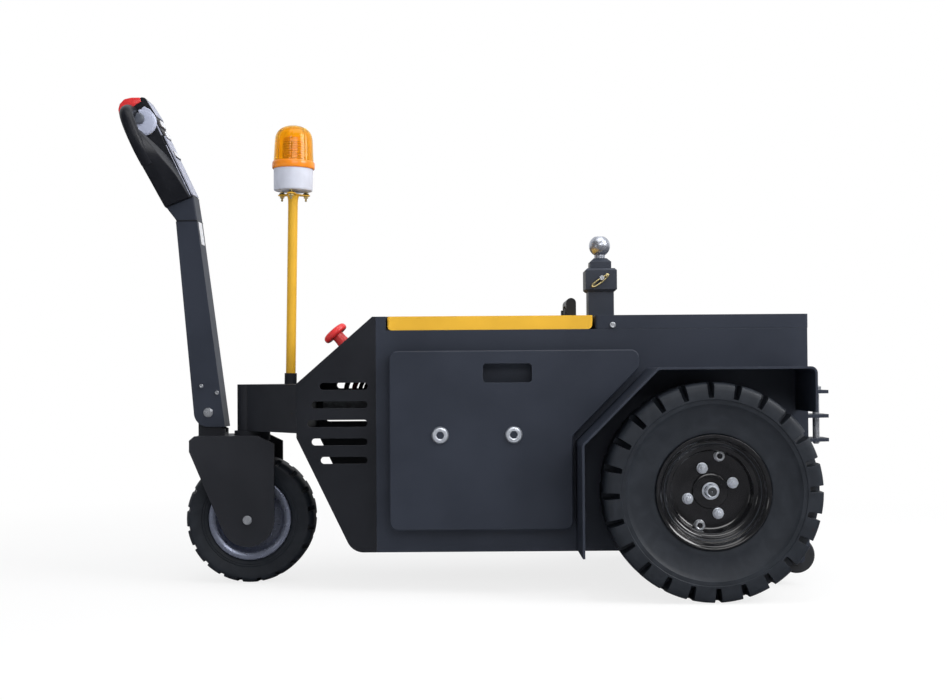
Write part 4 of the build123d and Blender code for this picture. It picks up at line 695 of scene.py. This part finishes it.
def tiller_keypad():
    """Keypad on the rear face: a light surround and panel, and paddle keys with white faces."""
    # Table of layers: name, half width, both ends along, both heights over the console, material and slot
    light = (GREY_PLASTIC, "grey_plastic")
    black = (BLACK_PLASTIC, "black_plastic")
    for name, half, low_v, high_v, low, high, (material, slot) in (
        ("keypad_rim", 36.5, 3, 136, -5, -1.2, light),
        ("keypad_seam", 34.5, 4, 135, -3, 1.6, black),
        ("keypad_panel", 33.5, 3, 158, 1.4, 4.8, light),
        ("keypad_foot", 34.5, 135, 176, -5, 1.8, black),
        ("key_rim", 36.8, 160, 204, -5, 0.2, light),
        ("key_bed", 33, 156, 204, -4, 3.2, black),
    ):
        bm = bmesh.new()
        slab(bm, rounded(rectangle(-half, half, low_v, high_v), 4), rear_face, low, high)
        piece(name, bm, material, "tiller", bevel=0.6 * MM)
    # Table of keys: name, low and high end along, half width, lift at the low and the high end, material
    paddles = (
        ("key_top", 207, 253, 32, 8.6, 3.2, GREY_PLASTIC),
        ("key_upper", 183, 201, 26, 6.0, 8.4, BUTTON_PLASTIC),
        ("key_middle", 153, 172, 26, 6.2, 7.6, BUTTON_PLASTIC),
        ("key_lower", 102, 121, 27, 7.6, 5.6, BUTTON_PLASTIC),
    )
    for name, low_v, high_v, half, low_lift, high_lift, material in paddles:

        def key_ring(inset, share, rise=0.0):
            ring = []
            for u, v in rounded(rectangle(-half + inset, half - inset, low_v + inset, high_v - inset), 4):
                lift = low_lift + (high_lift - low_lift) * (v - low_v) / (high_v - low_v)
                ring.append(rear_face(u, v, (lift + 2) * share - 2 + rise))
            return ring

        bm = bmesh.new()
        loft(bm, [key_ring(inset, share) for inset, share in ((0, 0), (0, 0.8), (0.6, 0.95), (1.8, 1))])
        piece(name, bm, material, "tiller", limit=50)
        if material is BUTTON_PLASTIC:
            bm = bmesh.new()
            loft(bm, [key_ring(1.9, 1, -0.3), key_ring(1.9, 1, 0.6)])
            piece(f"{name}_inlay", bm, LABEL_WHITE, "tiller")


# The throttle disc's radius, and the height at which its front half is cut off
DISC_R = 31.6
DISC_CUT = 12.3


def tiller_throttles():
    """Light disc on each flank with its square tab, and the darker knob over it."""
    for side, sign in SIDES:
        place = facing(head(25, sign * 38.3, 202), (0, sign, 0), up=HEAD_ALONG)
        # In that map x runs to the rear on the left side and to the front on the right
        rear = -sign
        bm = bmesh.new()
        outline = [(DISC_R * cos(2 * pi * k / 96), DISC_R * sin(2 * pi * k / 96)) for k in range(96)]
        rings = []
        for share, height in ((0.93, 0), (0.97, 1), (1, 4), (1, 8.6), (0.97, 11), (0.92, 12.4),
                              (0.80, 13.3), (0.62, 13.6), (0.30, 13.7)):
            ring = []
            for x, y in outline:
                level = y * share if x > -1 else min(y * share, DISC_CUT * (0.4 + 0.6 * share))
                ring.append(place(rear * x * share * MM, level * MM, height * MM))
            rings.append(ring)
        loft(bm, rings)
        piece(f"throttle_disc_{side}", bm, DISC_PLASTIC, "tiller", replaces=("throttles",),
              limit=50)
        # Square tab towards the console's end
        bm = bmesh.new()
        tab = rounded([(2, 8), (8.5, 31), (16, 33.8), (26.5, 22), (29, 8)], 2)
        slab(bm, [(rear * x * MM, y * MM) for x, y in tab], place, 1 * MM, 12.6 * MM)
        piece(f"throttle_tab_{side}", bm, DISC_PLASTIC, "tiller", bevel=1.2 * MM)
        knob_place = facing(head(20, sign * 38.3, 212), (0, sign, 0), up=HEAD_ALONG)
        bm = bmesh.new()
        knob = [(13.2, 12), (13.6, 17), (13.4, 20.5), (12.2, 22.6), (9.4, 23.4), (4, 23.7), (0.01, 23.7)]
        lathe(bm, metres(knob), knob_place, steps=56)
        piece(f"throttle_knob_{side}", bm, KNOB_PLASTIC, "tiller", limit=60)


def reverse_pad():
    """Red safety pad over the head's top end."""
    bm = bmesh.new()
    rings = []
    for y, shrink in ((-37.6, 2.2), (-37, 1), (-35.6, 0.2), (-33, 0), (33, 0), (35.6, 0.2), (37, 1),
                      (37.6, 2.2)):
        corners = [(37.2 - shrink, 252.8), (13.8 + 0.4 * shrink, 248.2), (6.6, 234.4 + 0.2 * shrink),
                   (-17 + shrink, 233.4 + shrink), (-23.4 + shrink, 240 + 0.6 * shrink),
                   (-20.8 + shrink, 255 - 0.3 * shrink), (-13 + 0.8 * shrink, 266 - shrink),
                   (1.5, 272.8 - shrink), (18, 270.4 - shrink), (38.2 - shrink, 262.8 - 0.7 * shrink)]
        outline = rounded(corners, (1, 2, 1, 4, 7, 7, 7, 8, 8, 2.5), steps=4)
        rings.append([head(a, y, along) for a, along in outline])
    loft(bm, rings)
    piece("reverse_pad", bm, RED_PLASTIC, "tiller", replaces=("reverse_button",), limit=60)


tiller_console()
tiller_loops()
tiller_keypad()
tiller_throttles()
reverse_pad()


def column_details():
    """Blank label on the rear face and two small screws on each flank."""
    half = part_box("tiller_column")[1].y
    bm = bmesh.new()
    # The rear face leans 56.5 mm over a height of 412.5 mm and passes X -592.3 at Z 428.3
    lean = atan(56.5 / 412.5)

    def sloping(u, v, w):
        """u to the side, v up, w out of the rear face."""
        x = -592.3 * MM - (v - 428.3 * MM) * sin(lean) / cos(lean)
        return Vector((x + w * cos(lean), u, v + w * sin(lean)))

    label = rounded(rectangle(-19 * MM, 19 * MM, 797 * MM, 851 * MM), 2 * MM)
    slab(bm, label, sloping, 0.05 * MM, 0.5 * MM)
    piece("column_label", bm, LABEL_WHITE, "tiller")
    bm = bmesh.new()
    for sign in (-1, 1):
        for x, z in ((-641, 461.5), (-604.5, 445.5)):
            cap_screw(bm, facing((x * MM, sign * half, z * MM), (0, sign, 0)), 4.6 * MM, 3 * MM)
    piece("column_screws", bm, ZINC, "tiller")


def steering_bolts():
    """Bolt heads of the front axle and of the tiller's pivot."""
    bm = bmesh.new()
    fork_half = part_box("fork")[1].y
    column_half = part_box("tiller_column")[1].y
    pivot_x = -625.3 * MM
    pivot_z = 399 * MM
    for sign in (-1, 1):
        axle = facing((FRONT_MIDDLE.x, sign * fork_half, FRONT_MIDDLE.z), (0, sign, 0))
        lathe(bm, metres([(0.01, 0), (10.6, 0.1), (10.6, 1.2), (10.2, 1.6), (8, 1.6)]), axle, steps=40)
        hex_head(bm, axle, 10.2 * MM, 1.5 * MM, 5.9 * MM)
        pivot = facing((pivot_x, sign * column_half, pivot_z), (0, sign, 0))
        lathe(bm, metres([(0.01, 0), (11, 0.1), (11, 1.4), (10.5, 1.8), (7, 1.8)]), pivot, steps=36)
        hex_head(bm, pivot, 8.8 * MM, 1.7 * MM, 5 * MM)
    for x, half, z, radius in ((FRONT_MIDDLE.x, fork_half, FRONT_MIDDLE.z, 8 * MM),
                               (pivot_x, column_half, pivot_z, 6 * MM)):
        tube(bm, [Vector((x, y, z)) for y in (-half, 0, half)], radius, steps=24)
    piece("steering_bolts", bm, ZINC, "steering", replaces=("steering_pins",))


column_details()
steering_bolts()

# Beacon, in local terms: z up the leaning pole
POLE_LEAN = radians(1.0)
POLE_FOOT = Vector((-435.7 * MM, 0, 464.5 * MM))
POLE_UP = Vector((sin(POLE_LEAN), 0, cos(POLE_LEAN)))
POLE_ACROSS = Vector((cos(POLE_LEAN), 0, -sin(POLE_LEAN)))
# Directions of the plate's arms in degrees, and how far out their studs stand
BEACON_ARMS = (-90, 30, 150)
STUD_REACH = 33 * MM
RIB_PITCH = 5.6


def pole(x, y, z):
    return POLE_FOOT + POLE_ACROSS * x + Vector((0, y, 0)) + POLE_UP * z


def above(height):
    """Height along the pole of a level above the floor."""
    return height * MM - POLE_FOOT.z


def up_the_pole(points):
    """Pairs of a radius and a level above the floor in millimetres, as metres from the pole's foot."""
    return [(radius * MM, above(level)) for radius, level in points]


def beacon():
    """Three-armed plate on the pole, studs with washers, base, ring, dome and the ribbed drum inside."""
    plate_z = above(914.6)

    def at_plate(points):
        return [(radius * MM, plate_z + rise * MM) for radius, rise in points]

    bm = bmesh.new()
    # Pole's flared head under the plate
    flare = [(11.6, -22), (11.8, -12), (13, -5), (15, -0.6), (15, 0), (0.01, 0)]
    lathe(bm, at_plate(flare), pole, steps=40)
    outline = []
    arm_end = ((17, -10), (33, -10), (38, -8.7), (41.7, -5), (43, 0), (41.7, 5), (38, 8.7), (33, 10),
               (17, 10))
    for arm in BEACON_ARMS:
        turn = radians(arm)
        for u, v in arm_end:
            outline.append((u * cos(turn) - v * sin(turn), u * sin(turn) + v * cos(turn)))
    slab(bm, metres(rounded(outline, 4, steps=3)), pole, plate_z, plate_z + 2.6 * MM)
    piece("beacon_arm_plate", bm, YELLOW, "chassis", replaces=("beacon_bracket",), bevel=0.5 * MM)

    studs = bmesh.new()
    washers = bmesh.new()
    for arm in BEACON_ARMS:
        x = STUD_REACH * cos(radians(arm))
        y = STUD_REACH * sin(radians(arm))

        def spot(u, v, w, x=x, y=y):
            return pole(x + u, y + v, w)

        lathe(studs, at_plate([(0.01, -13), (2, -13), (2.6, -12), (2.6, -5)]), spot, steps=16)
        hex_head(studs, spot, 5.6 * MM, plate_z - 5.2 * MM, plate_z - 0.2 * MM)
        lathe(studs, at_plate([(4.6, 10.6), (4.6, 5), (0.01, 5)]), spot, steps=20)
        washer = [(0.01, 2.7), (6.6, 2.8), (7.2, 4.4), (6.6, 6.2), (0.01, 6.3)]
        lathe(washers, at_plate(washer), spot, steps=24)
    piece("beacon_studs", studs, YELLOW_ZINC, "chassis")
    piece("beacon_washers", washers, SOFT_RUBBER, "chassis")

    bm = bmesh.new()
    base = [(0.01, 925), (44.6, 925), (45.6, 926.2), (46, 930), (46.5, 962), (46.5, 976.4), (0.01, 976.4)]
    lathe(bm, up_the_pole(base), pole, steps=96)
    piece("beacon_base_shell", bm, BEACON_GREY, "chassis", replaces=("beacon_base",), limit=50)

    # Clamping ring between the base and the dome
    bm = bmesh.new()
    ring = [(46, 976.6), (48.8, 976.8), (50.2, 978.2), (50.7, 981), (50.7, 989), (50.2, 992.2),
            (48.4, 994.4), (44.6, 994.6), (44.6, 976.6)]
    lathe(bm, up_the_pole(ring), pole, steps=128)
    piece("beacon_ring", bm, ORANGE_PLASTIC, "chassis", limit=50)

    bm = bmesh.new()
    outer = [(47.4, 990), (47.2, 998), (46.6, 1008), (46, 1020), (45.3, 1036), (44.5, 1048), (43.2, 1055.5),
             (40.4, 1062.6), (36.4, 1068.2), (30.6, 1073.2), (22, 1077.4), (13, 1080), (6, 1080.9),
             (0.01, 1081)]
    inner = [(0.01, 1078.4), (14, 1077.2), (22, 1074.6), (29.4, 1070.6), (34.8, 1066), (38.6, 1060.6),
             (41, 1054), (42.2, 1047), (43.1, 1036), (43.8, 1020), (44.2, 1008), (44.6, 998), (44.8, 990)]

    def panels(angle, r, h):
        """Eight panels with narrow grooves between them, on the wall and the shoulder."""
        share = abs(((8 * angle / (2 * pi)) % 1.0) - 0.5) * 2
        groove = 1.3 * MM if share > 0.9 and r >= 20 * MM else 0.0
        return r - groove, h

    lathe(bm, up_the_pole(outer + inner + outer[:1]), pole, steps=160, turn=panels)
    piece("beacon_dome", bm, AMBER, "chassis", replaces=("beacon_lens",), limit=40)

    # Ribbed drum inside the dome
    bm = bmesh.new()
    ribs = [(0.01, 996), (24.5, 996)]
    for rib in range(8):
        level = 1000 + RIB_PITCH * rib
        ribs += [(24.5, level), (26.6, level + 1.2), (26.6, level + 2.8), (24.5, level + 4.0)]
    ribs += [(24.5, 1050), (22, 1053), (0.01, 1054)]
    lathe(bm, up_the_pole(ribs), pole, steps=72)
    piece("beacon_drum", bm, DRUM_AMBER, "chassis", limit=20)


beacon()


# Cables between the controller and the bulkhead, with X at the foot, Y, radius and bend radius
CABLE_RUNS = [(-298, -60, 6, 60), (-283, -20, 6, 52), (-272, 20, 5, 45), (-262, 45, 5, 38)]
RED_RUN = CABLE_RUNS[1]


def cables():
    """Leads that rise from the controller's top and bend over to the bulkhead."""
    low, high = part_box("power_cables")
    black = bmesh.new()
    red = bmesh.new()
    lugs = bmesh.new()
    for run in CABLE_RUNS:
        x, y, radius, bend = (part * MM for part in run)
        turn_z = low.z + 8 * MM
        path = [Vector((x, y, low.z + 3 * MM)), Vector((x, y, turn_z))]
        for step in range(1, 13):
            angle = pi / 2 * step / 12
            path.append(Vector((x + bend * (1 - cos(angle)), y, turn_z + bend * sin(angle))))
        path.append(Vector((high.x, y, turn_z + bend)))
        tube(red if run is RED_RUN else black, path, radius, steps=20)
        spot = facing((x, y, low.z), (0, 0, 1), up=(1, 0, 0))
        lathe(lugs, [(0.01 * MM, 0), (1.15 * radius, 0.1 * MM), (1.15 * radius, 5 * MM), (radius, 6 * MM)],
              spot, steps=24)
    piece("black_leads", black, CABLE_BLACK, "chassis", replaces=("power_cables",))
    piece("red_lead", red, RED_CABLE, "chassis")
    piece("lead_lugs", lugs, YELLOW_ZINC, "chassis")


cables()


def emergency_stop():
    """Mushroom button on a conical stem, square to the nose's slope."""
    # The nose rises by 149.3 mm over 170.5 mm, from its lower edge at X -397 and Z 465.7
    slope = Vector((170.5, 0, 149.3)).normalized()
    normal = Vector((-slope.z, 0, slope.x))
    foot_x = -294.5
    foot_z = 465.7 + 149.3 * (foot_x + 397) / 170.5
    place = facing((foot_x * MM, -110 * MM, foot_z * MM), normal, up=(0, 1, 0))
    bm = bmesh.new()
    stem = [(0.01, 0.4), (17, 0.4), (17, 3.6), (16.2, 4.4), (14.8, 4.8), (13.6, 14), (13.6, 26), (15.5, 27.5)]
    lathe(bm, metres(stem), place, steps=56)
    cap = [(13, 26.5), (25.5, 26.6), (28.4, 28.2), (29.9, 31.4), (30, 34.8), (28.8, 38.8), (25.6, 42),
           (20, 43.6), (10, 44), (0.01, 44)]
    lathe(bm, metres(cap), place, steps=72)
    piece("stop_button", bm, RED_PLASTIC, "chassis", replaces=("emergency_stop",), limit=50)


emergency_stop()


# Mast and tow gear
def mast_details():
    """Pin, spring clip with its coil, and the domed screws beside the mast."""
    low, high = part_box("mast_pin")
    middle = centre_of("mast_pin")
    length = (high.y - low.y) / MM
    bm = bmesh.new()
    place = facing((middle.x, low.y, middle.z), (0, -1, 0))
    lathe(bm, metres([(0.01, -length), (6, -length), (6, -1), (5.4, 0), (0.01, 0)]), place, steps=36)
    piece("mast_pin_shaft", bm, ZINC, "chassis", replaces=("mast_pin",))
    clip_x = middle.x - 4 * MM
    clip_z = middle.z - 3.5 * MM
    y = low.y + 7 * MM
    bm = bmesh.new()
    points = [(16, 10.5), (7, 6), (-3, 0), (-12, -6.5), (-18, -12), (-19, -16), (-15, -17), (-8, -14),
              (2, -7.5), (10, -0.5), (15, 5), (16.5, 9)]
    path = smooth_path([Vector((clip_x + u * MM, y - 2 * MM, clip_z + v * MM)) for u, v in points], steps=6)
    tube(bm, path, 1.9 * MM, steps=12)
    # Coil at the clip's upper end
    coil = facing((clip_x + 16 * MM, y - 5 * MM, clip_z + 9.5 * MM), (0, -1, 0))
    lathe(bm, metres([(0.01, 0), (4.2, 0.1), (4.2, 5.4), (1.6, 5.6), (1.4, 3), (0.01, 3)]), coil, steps=28)
    piece("mast_clip", bm, YELLOW_ZINC, "chassis")
    bm = bmesh.new()
    for sign, face in zip((-1, 1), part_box("rear_cover")):
        cap_screw(bm, facing((311.6 * MM, face.y, 592.6 * MM), (0, sign, 0)), 6.8 * MM, 3.4 * MM)
    piece("cover_screws", bm, ZINC, "chassis")


def ballast_screws():
    """Large socket screws that hold the ballast plates."""
    bm = bmesh.new()
    for side, sign in SIDES:
        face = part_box(f"ballast_{side}")[0 if sign < 0 else 1].y - sign * 4 * MM
        for x in (-74.7 * MM, 87.5 * MM):
            spot = facing((x, face, 350.5 * MM), (0, sign, 0))
            cap_screw(bm, spot, 18.8 * MM, 4.6 * MM, socket=8.6 * MM)
    piece("ballast_socket_screws", bm, BRIGHT_ZINC, "chassis", bevel=0.4 * MM)


def roller_caps():
    """Bolt heads on the rollers' ears."""
    bm = bmesh.new()
    for node in ("roller_left", "roller_right"):
        low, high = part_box(node)
        middle = centre_of(node)
        for y, sign in ((low.y - 10 * MM, -1), (high.y + 10 * MM, 1)):
            hex_head(bm, facing((middle.x, y, middle.z), (0, sign, 0)), 9 * MM, 0, 5 * MM)
    piece("roller_bolts", bm, ZINC, "chassis")


mast_details()
ballast_screws()
roller_caps()

# Materials of the CAD nodes that stay
FINISHES = {
    CHARCOAL: ("tiller_column", "side_plate_left", "side_plate_right", "floor_pan", "rear_cover", "rear_wall",
               "fender_left", "fender_right", "ballast_left", "ballast_right", "hitch_bracket",
               "roller_brackets"),
    MAST_COAT: ("mast_tube", "ball_bar"),
    DARK_COAT: ("front_cheek_left", "front_cheek_right", "nose_panel"),
    NECK_COAT: ("neck_frame",),
    FORK_COAT: ("fork",),
    YELLOW: ("lid", "beacon_pole"),
    BLACK_PLASTIC: ("lid_handle",),
    BATTERY_CASE: ("battery_pack",),
    CAST: ("drive_unit", "controller_box"),
    BALL_STEEL: ("tow_ball",),
    ZINC: ("hitch_pin",),
    SOFT_RUBBER: ("roller_left", "roller_right"),
}
for material, names in FINISHES.items():
    for name in names:
        slots = NODES[name].material_slots
        if not slots:
            NODES[name].data.materials.append(material)
        for place in slots:
            place.material = material

# Floor, light and camera
CAMERA_PLACE = Vector((0, -3.125, 0.483))
CAMERA_PITCH = radians(1.09)
CAMERA_ROLL = radians(-0.4)
PHOTO_WIDTH = 947
FOCAL_PIXELS = 1313
SENSOR = 36
WHITE = colour(1.0, 1.0, 1.0)
COOL_WHITE = colour(0.95, 0.97, 1.0)
DIFFUSE_LIGHT = 0.5
MIRRORED_FRONT = 0.1
MIRRORED_BACK = 0.9


def floor_and_world():
    mesh = bpy.data.meshes.new("floor")
    mesh.from_pydata([(-40, -40, 0), (40, -40, 0), (40, 40, 0), (-40, 40, 0)], [], [(0, 1, 2, 3)])
    floor = add("floor", mesh)
    graph = Graph("floor_white")
    rays = graph.node("ShaderNodeLightPath").outputs
    graph.set(Base_Color=graph.mix(rays["Is Glossy Ray"], colour(0.9, 0.9, 0.9), colour(0.16, 0.16, 0.17)),
              Roughness=0.9, Specular_IOR_Level=0.0)
    # Seen by the camera it fades to plain white away from the machine
    distance = graph.node("ShaderNodeVectorMath", {"operation": "LENGTH"})
    graph.feed(distance.inputs[0], graph.place)
    fade = 0.8 + 0.2 * graph.step(Value(graph, distance.outputs["Value"]), 0.9, 2.6)
    white = graph.node("ShaderNodeEmission", Color=WHITE, Strength=1.0)
    blend = graph.node("ShaderNodeMixShader", Fac=fade * Value(graph, rays["Is Camera Ray"]))
    graph.feed(blend.inputs[1], graph.surface.outputs[0])
    graph.feed(blend.inputs[2], white.outputs[0])
    graph.feed(graph.tree.nodes["Material Output"].inputs["Surface"], blend.outputs[0])
    mesh.materials.append(graph.material)

    world = bpy.data.worlds.new("studio")
    bpy.context.scene.world = world
    world.use_nodes = True
    tree = world.node_tree
    path = tree.nodes.new("ShaderNodeLightPath")

    def background(tint, strength):
        node = tree.nodes.new("ShaderNodeBackground")
        node.inputs["Color"].default_value = tint
        node.inputs["Strength"].default_value = strength
        return node

    # In reflections the room is dark on the camera's side and white behind the machine
    way = tree.nodes.new("ShaderNodeTexCoord")
    parts = tree.nodes.new("ShaderNodeSeparateXYZ")
    tree.links.new(way.outputs["Generated"], parts.inputs[0])
    room = tree.nodes.new("ShaderNodeMapRange")
    room.interpolation_type = "SMOOTHSTEP"
    room.inputs["From Min"].default_value = -0.15
    room.inputs["From Max"].default_value = 0.55
    room.inputs["To Min"].default_value = MIRRORED_FRONT
    room.inputs["To Max"].default_value = MIRRORED_BACK
    tree.links.new(parts.outputs["Y"], room.inputs["Value"])
    mirrored = background(COOL_WHITE, 1.0)
    tree.links.new(room.outputs["Result"], mirrored.inputs["Strength"])
    shader = tree.nodes["Background"]
    shader.inputs["Color"].default_value = COOL_WHITE
    shader.inputs["Strength"].default_value = DIFFUSE_LIGHT
    for ray, other in (("Is Glossy Ray", mirrored), ("Is Camera Ray", background(WHITE, 1.0)),
                       ("Is Transmission Ray", background(WHITE, 1.0))):
        mix = tree.nodes.new("ShaderNodeMixShader")
        tree.links.new(path.outputs[ray], mix.inputs["Fac"])
        tree.links.new(shader.outputs[0], mix.inputs[1])
        tree.links.new(other.outputs[0], mix.inputs[2])
        shader = mix
    tree.links.new(shader.outputs[0], tree.nodes["World Output"].inputs["Surface"])


def softbox(name, place, target, width, height, power):
    light = bpy.data.lights.new(name, "AREA")
    light.shape = "RECTANGLE"
    light.size = width
    light.size_y = height
    light.energy = power
    obj = add(name, light)
    obj.location = place
    obj.rotation_euler = (Vector(target) - Vector(place)).to_track_quat("-Z", "Y").to_euler()


def camera():
    data = bpy.data.cameras.new("camera")
    data.sensor_width = SENSOR
    data.lens = FOCAL_PIXELS * SENSOR / PHOTO_WIDTH
    data.clip_end = 200
    obj = add("camera", data)
    turn = Matrix.Rotation(pi / 2 + CAMERA_PITCH, 4, "X") @ Matrix.Rotation(CAMERA_ROLL, 4, "Z")
    obj.matrix_world = Matrix.Translation(CAMERA_PLACE) @ turn
    bpy.context.scene.camera = obj


floor_and_world()
softbox("key", (3.0, -1.6, 2.6), (0, 0, 0.4), 2.0, 2.0, 110)
softbox("top", (0.4, -0.6, 3.2), (0, 0, 0.4), 3.0, 2.0, 45)
softbox("front", (0.8, -4.2, 2.2), (0, 0, 0.5), 2.4, 1.2, 38)
softbox("low_left", (-2.6, -2.6, 0.7), (0, 0, 0.3), 0.9, 0.7, 4)
camera()
bpy.context.scene.view_settings.view_transform = "Standard"
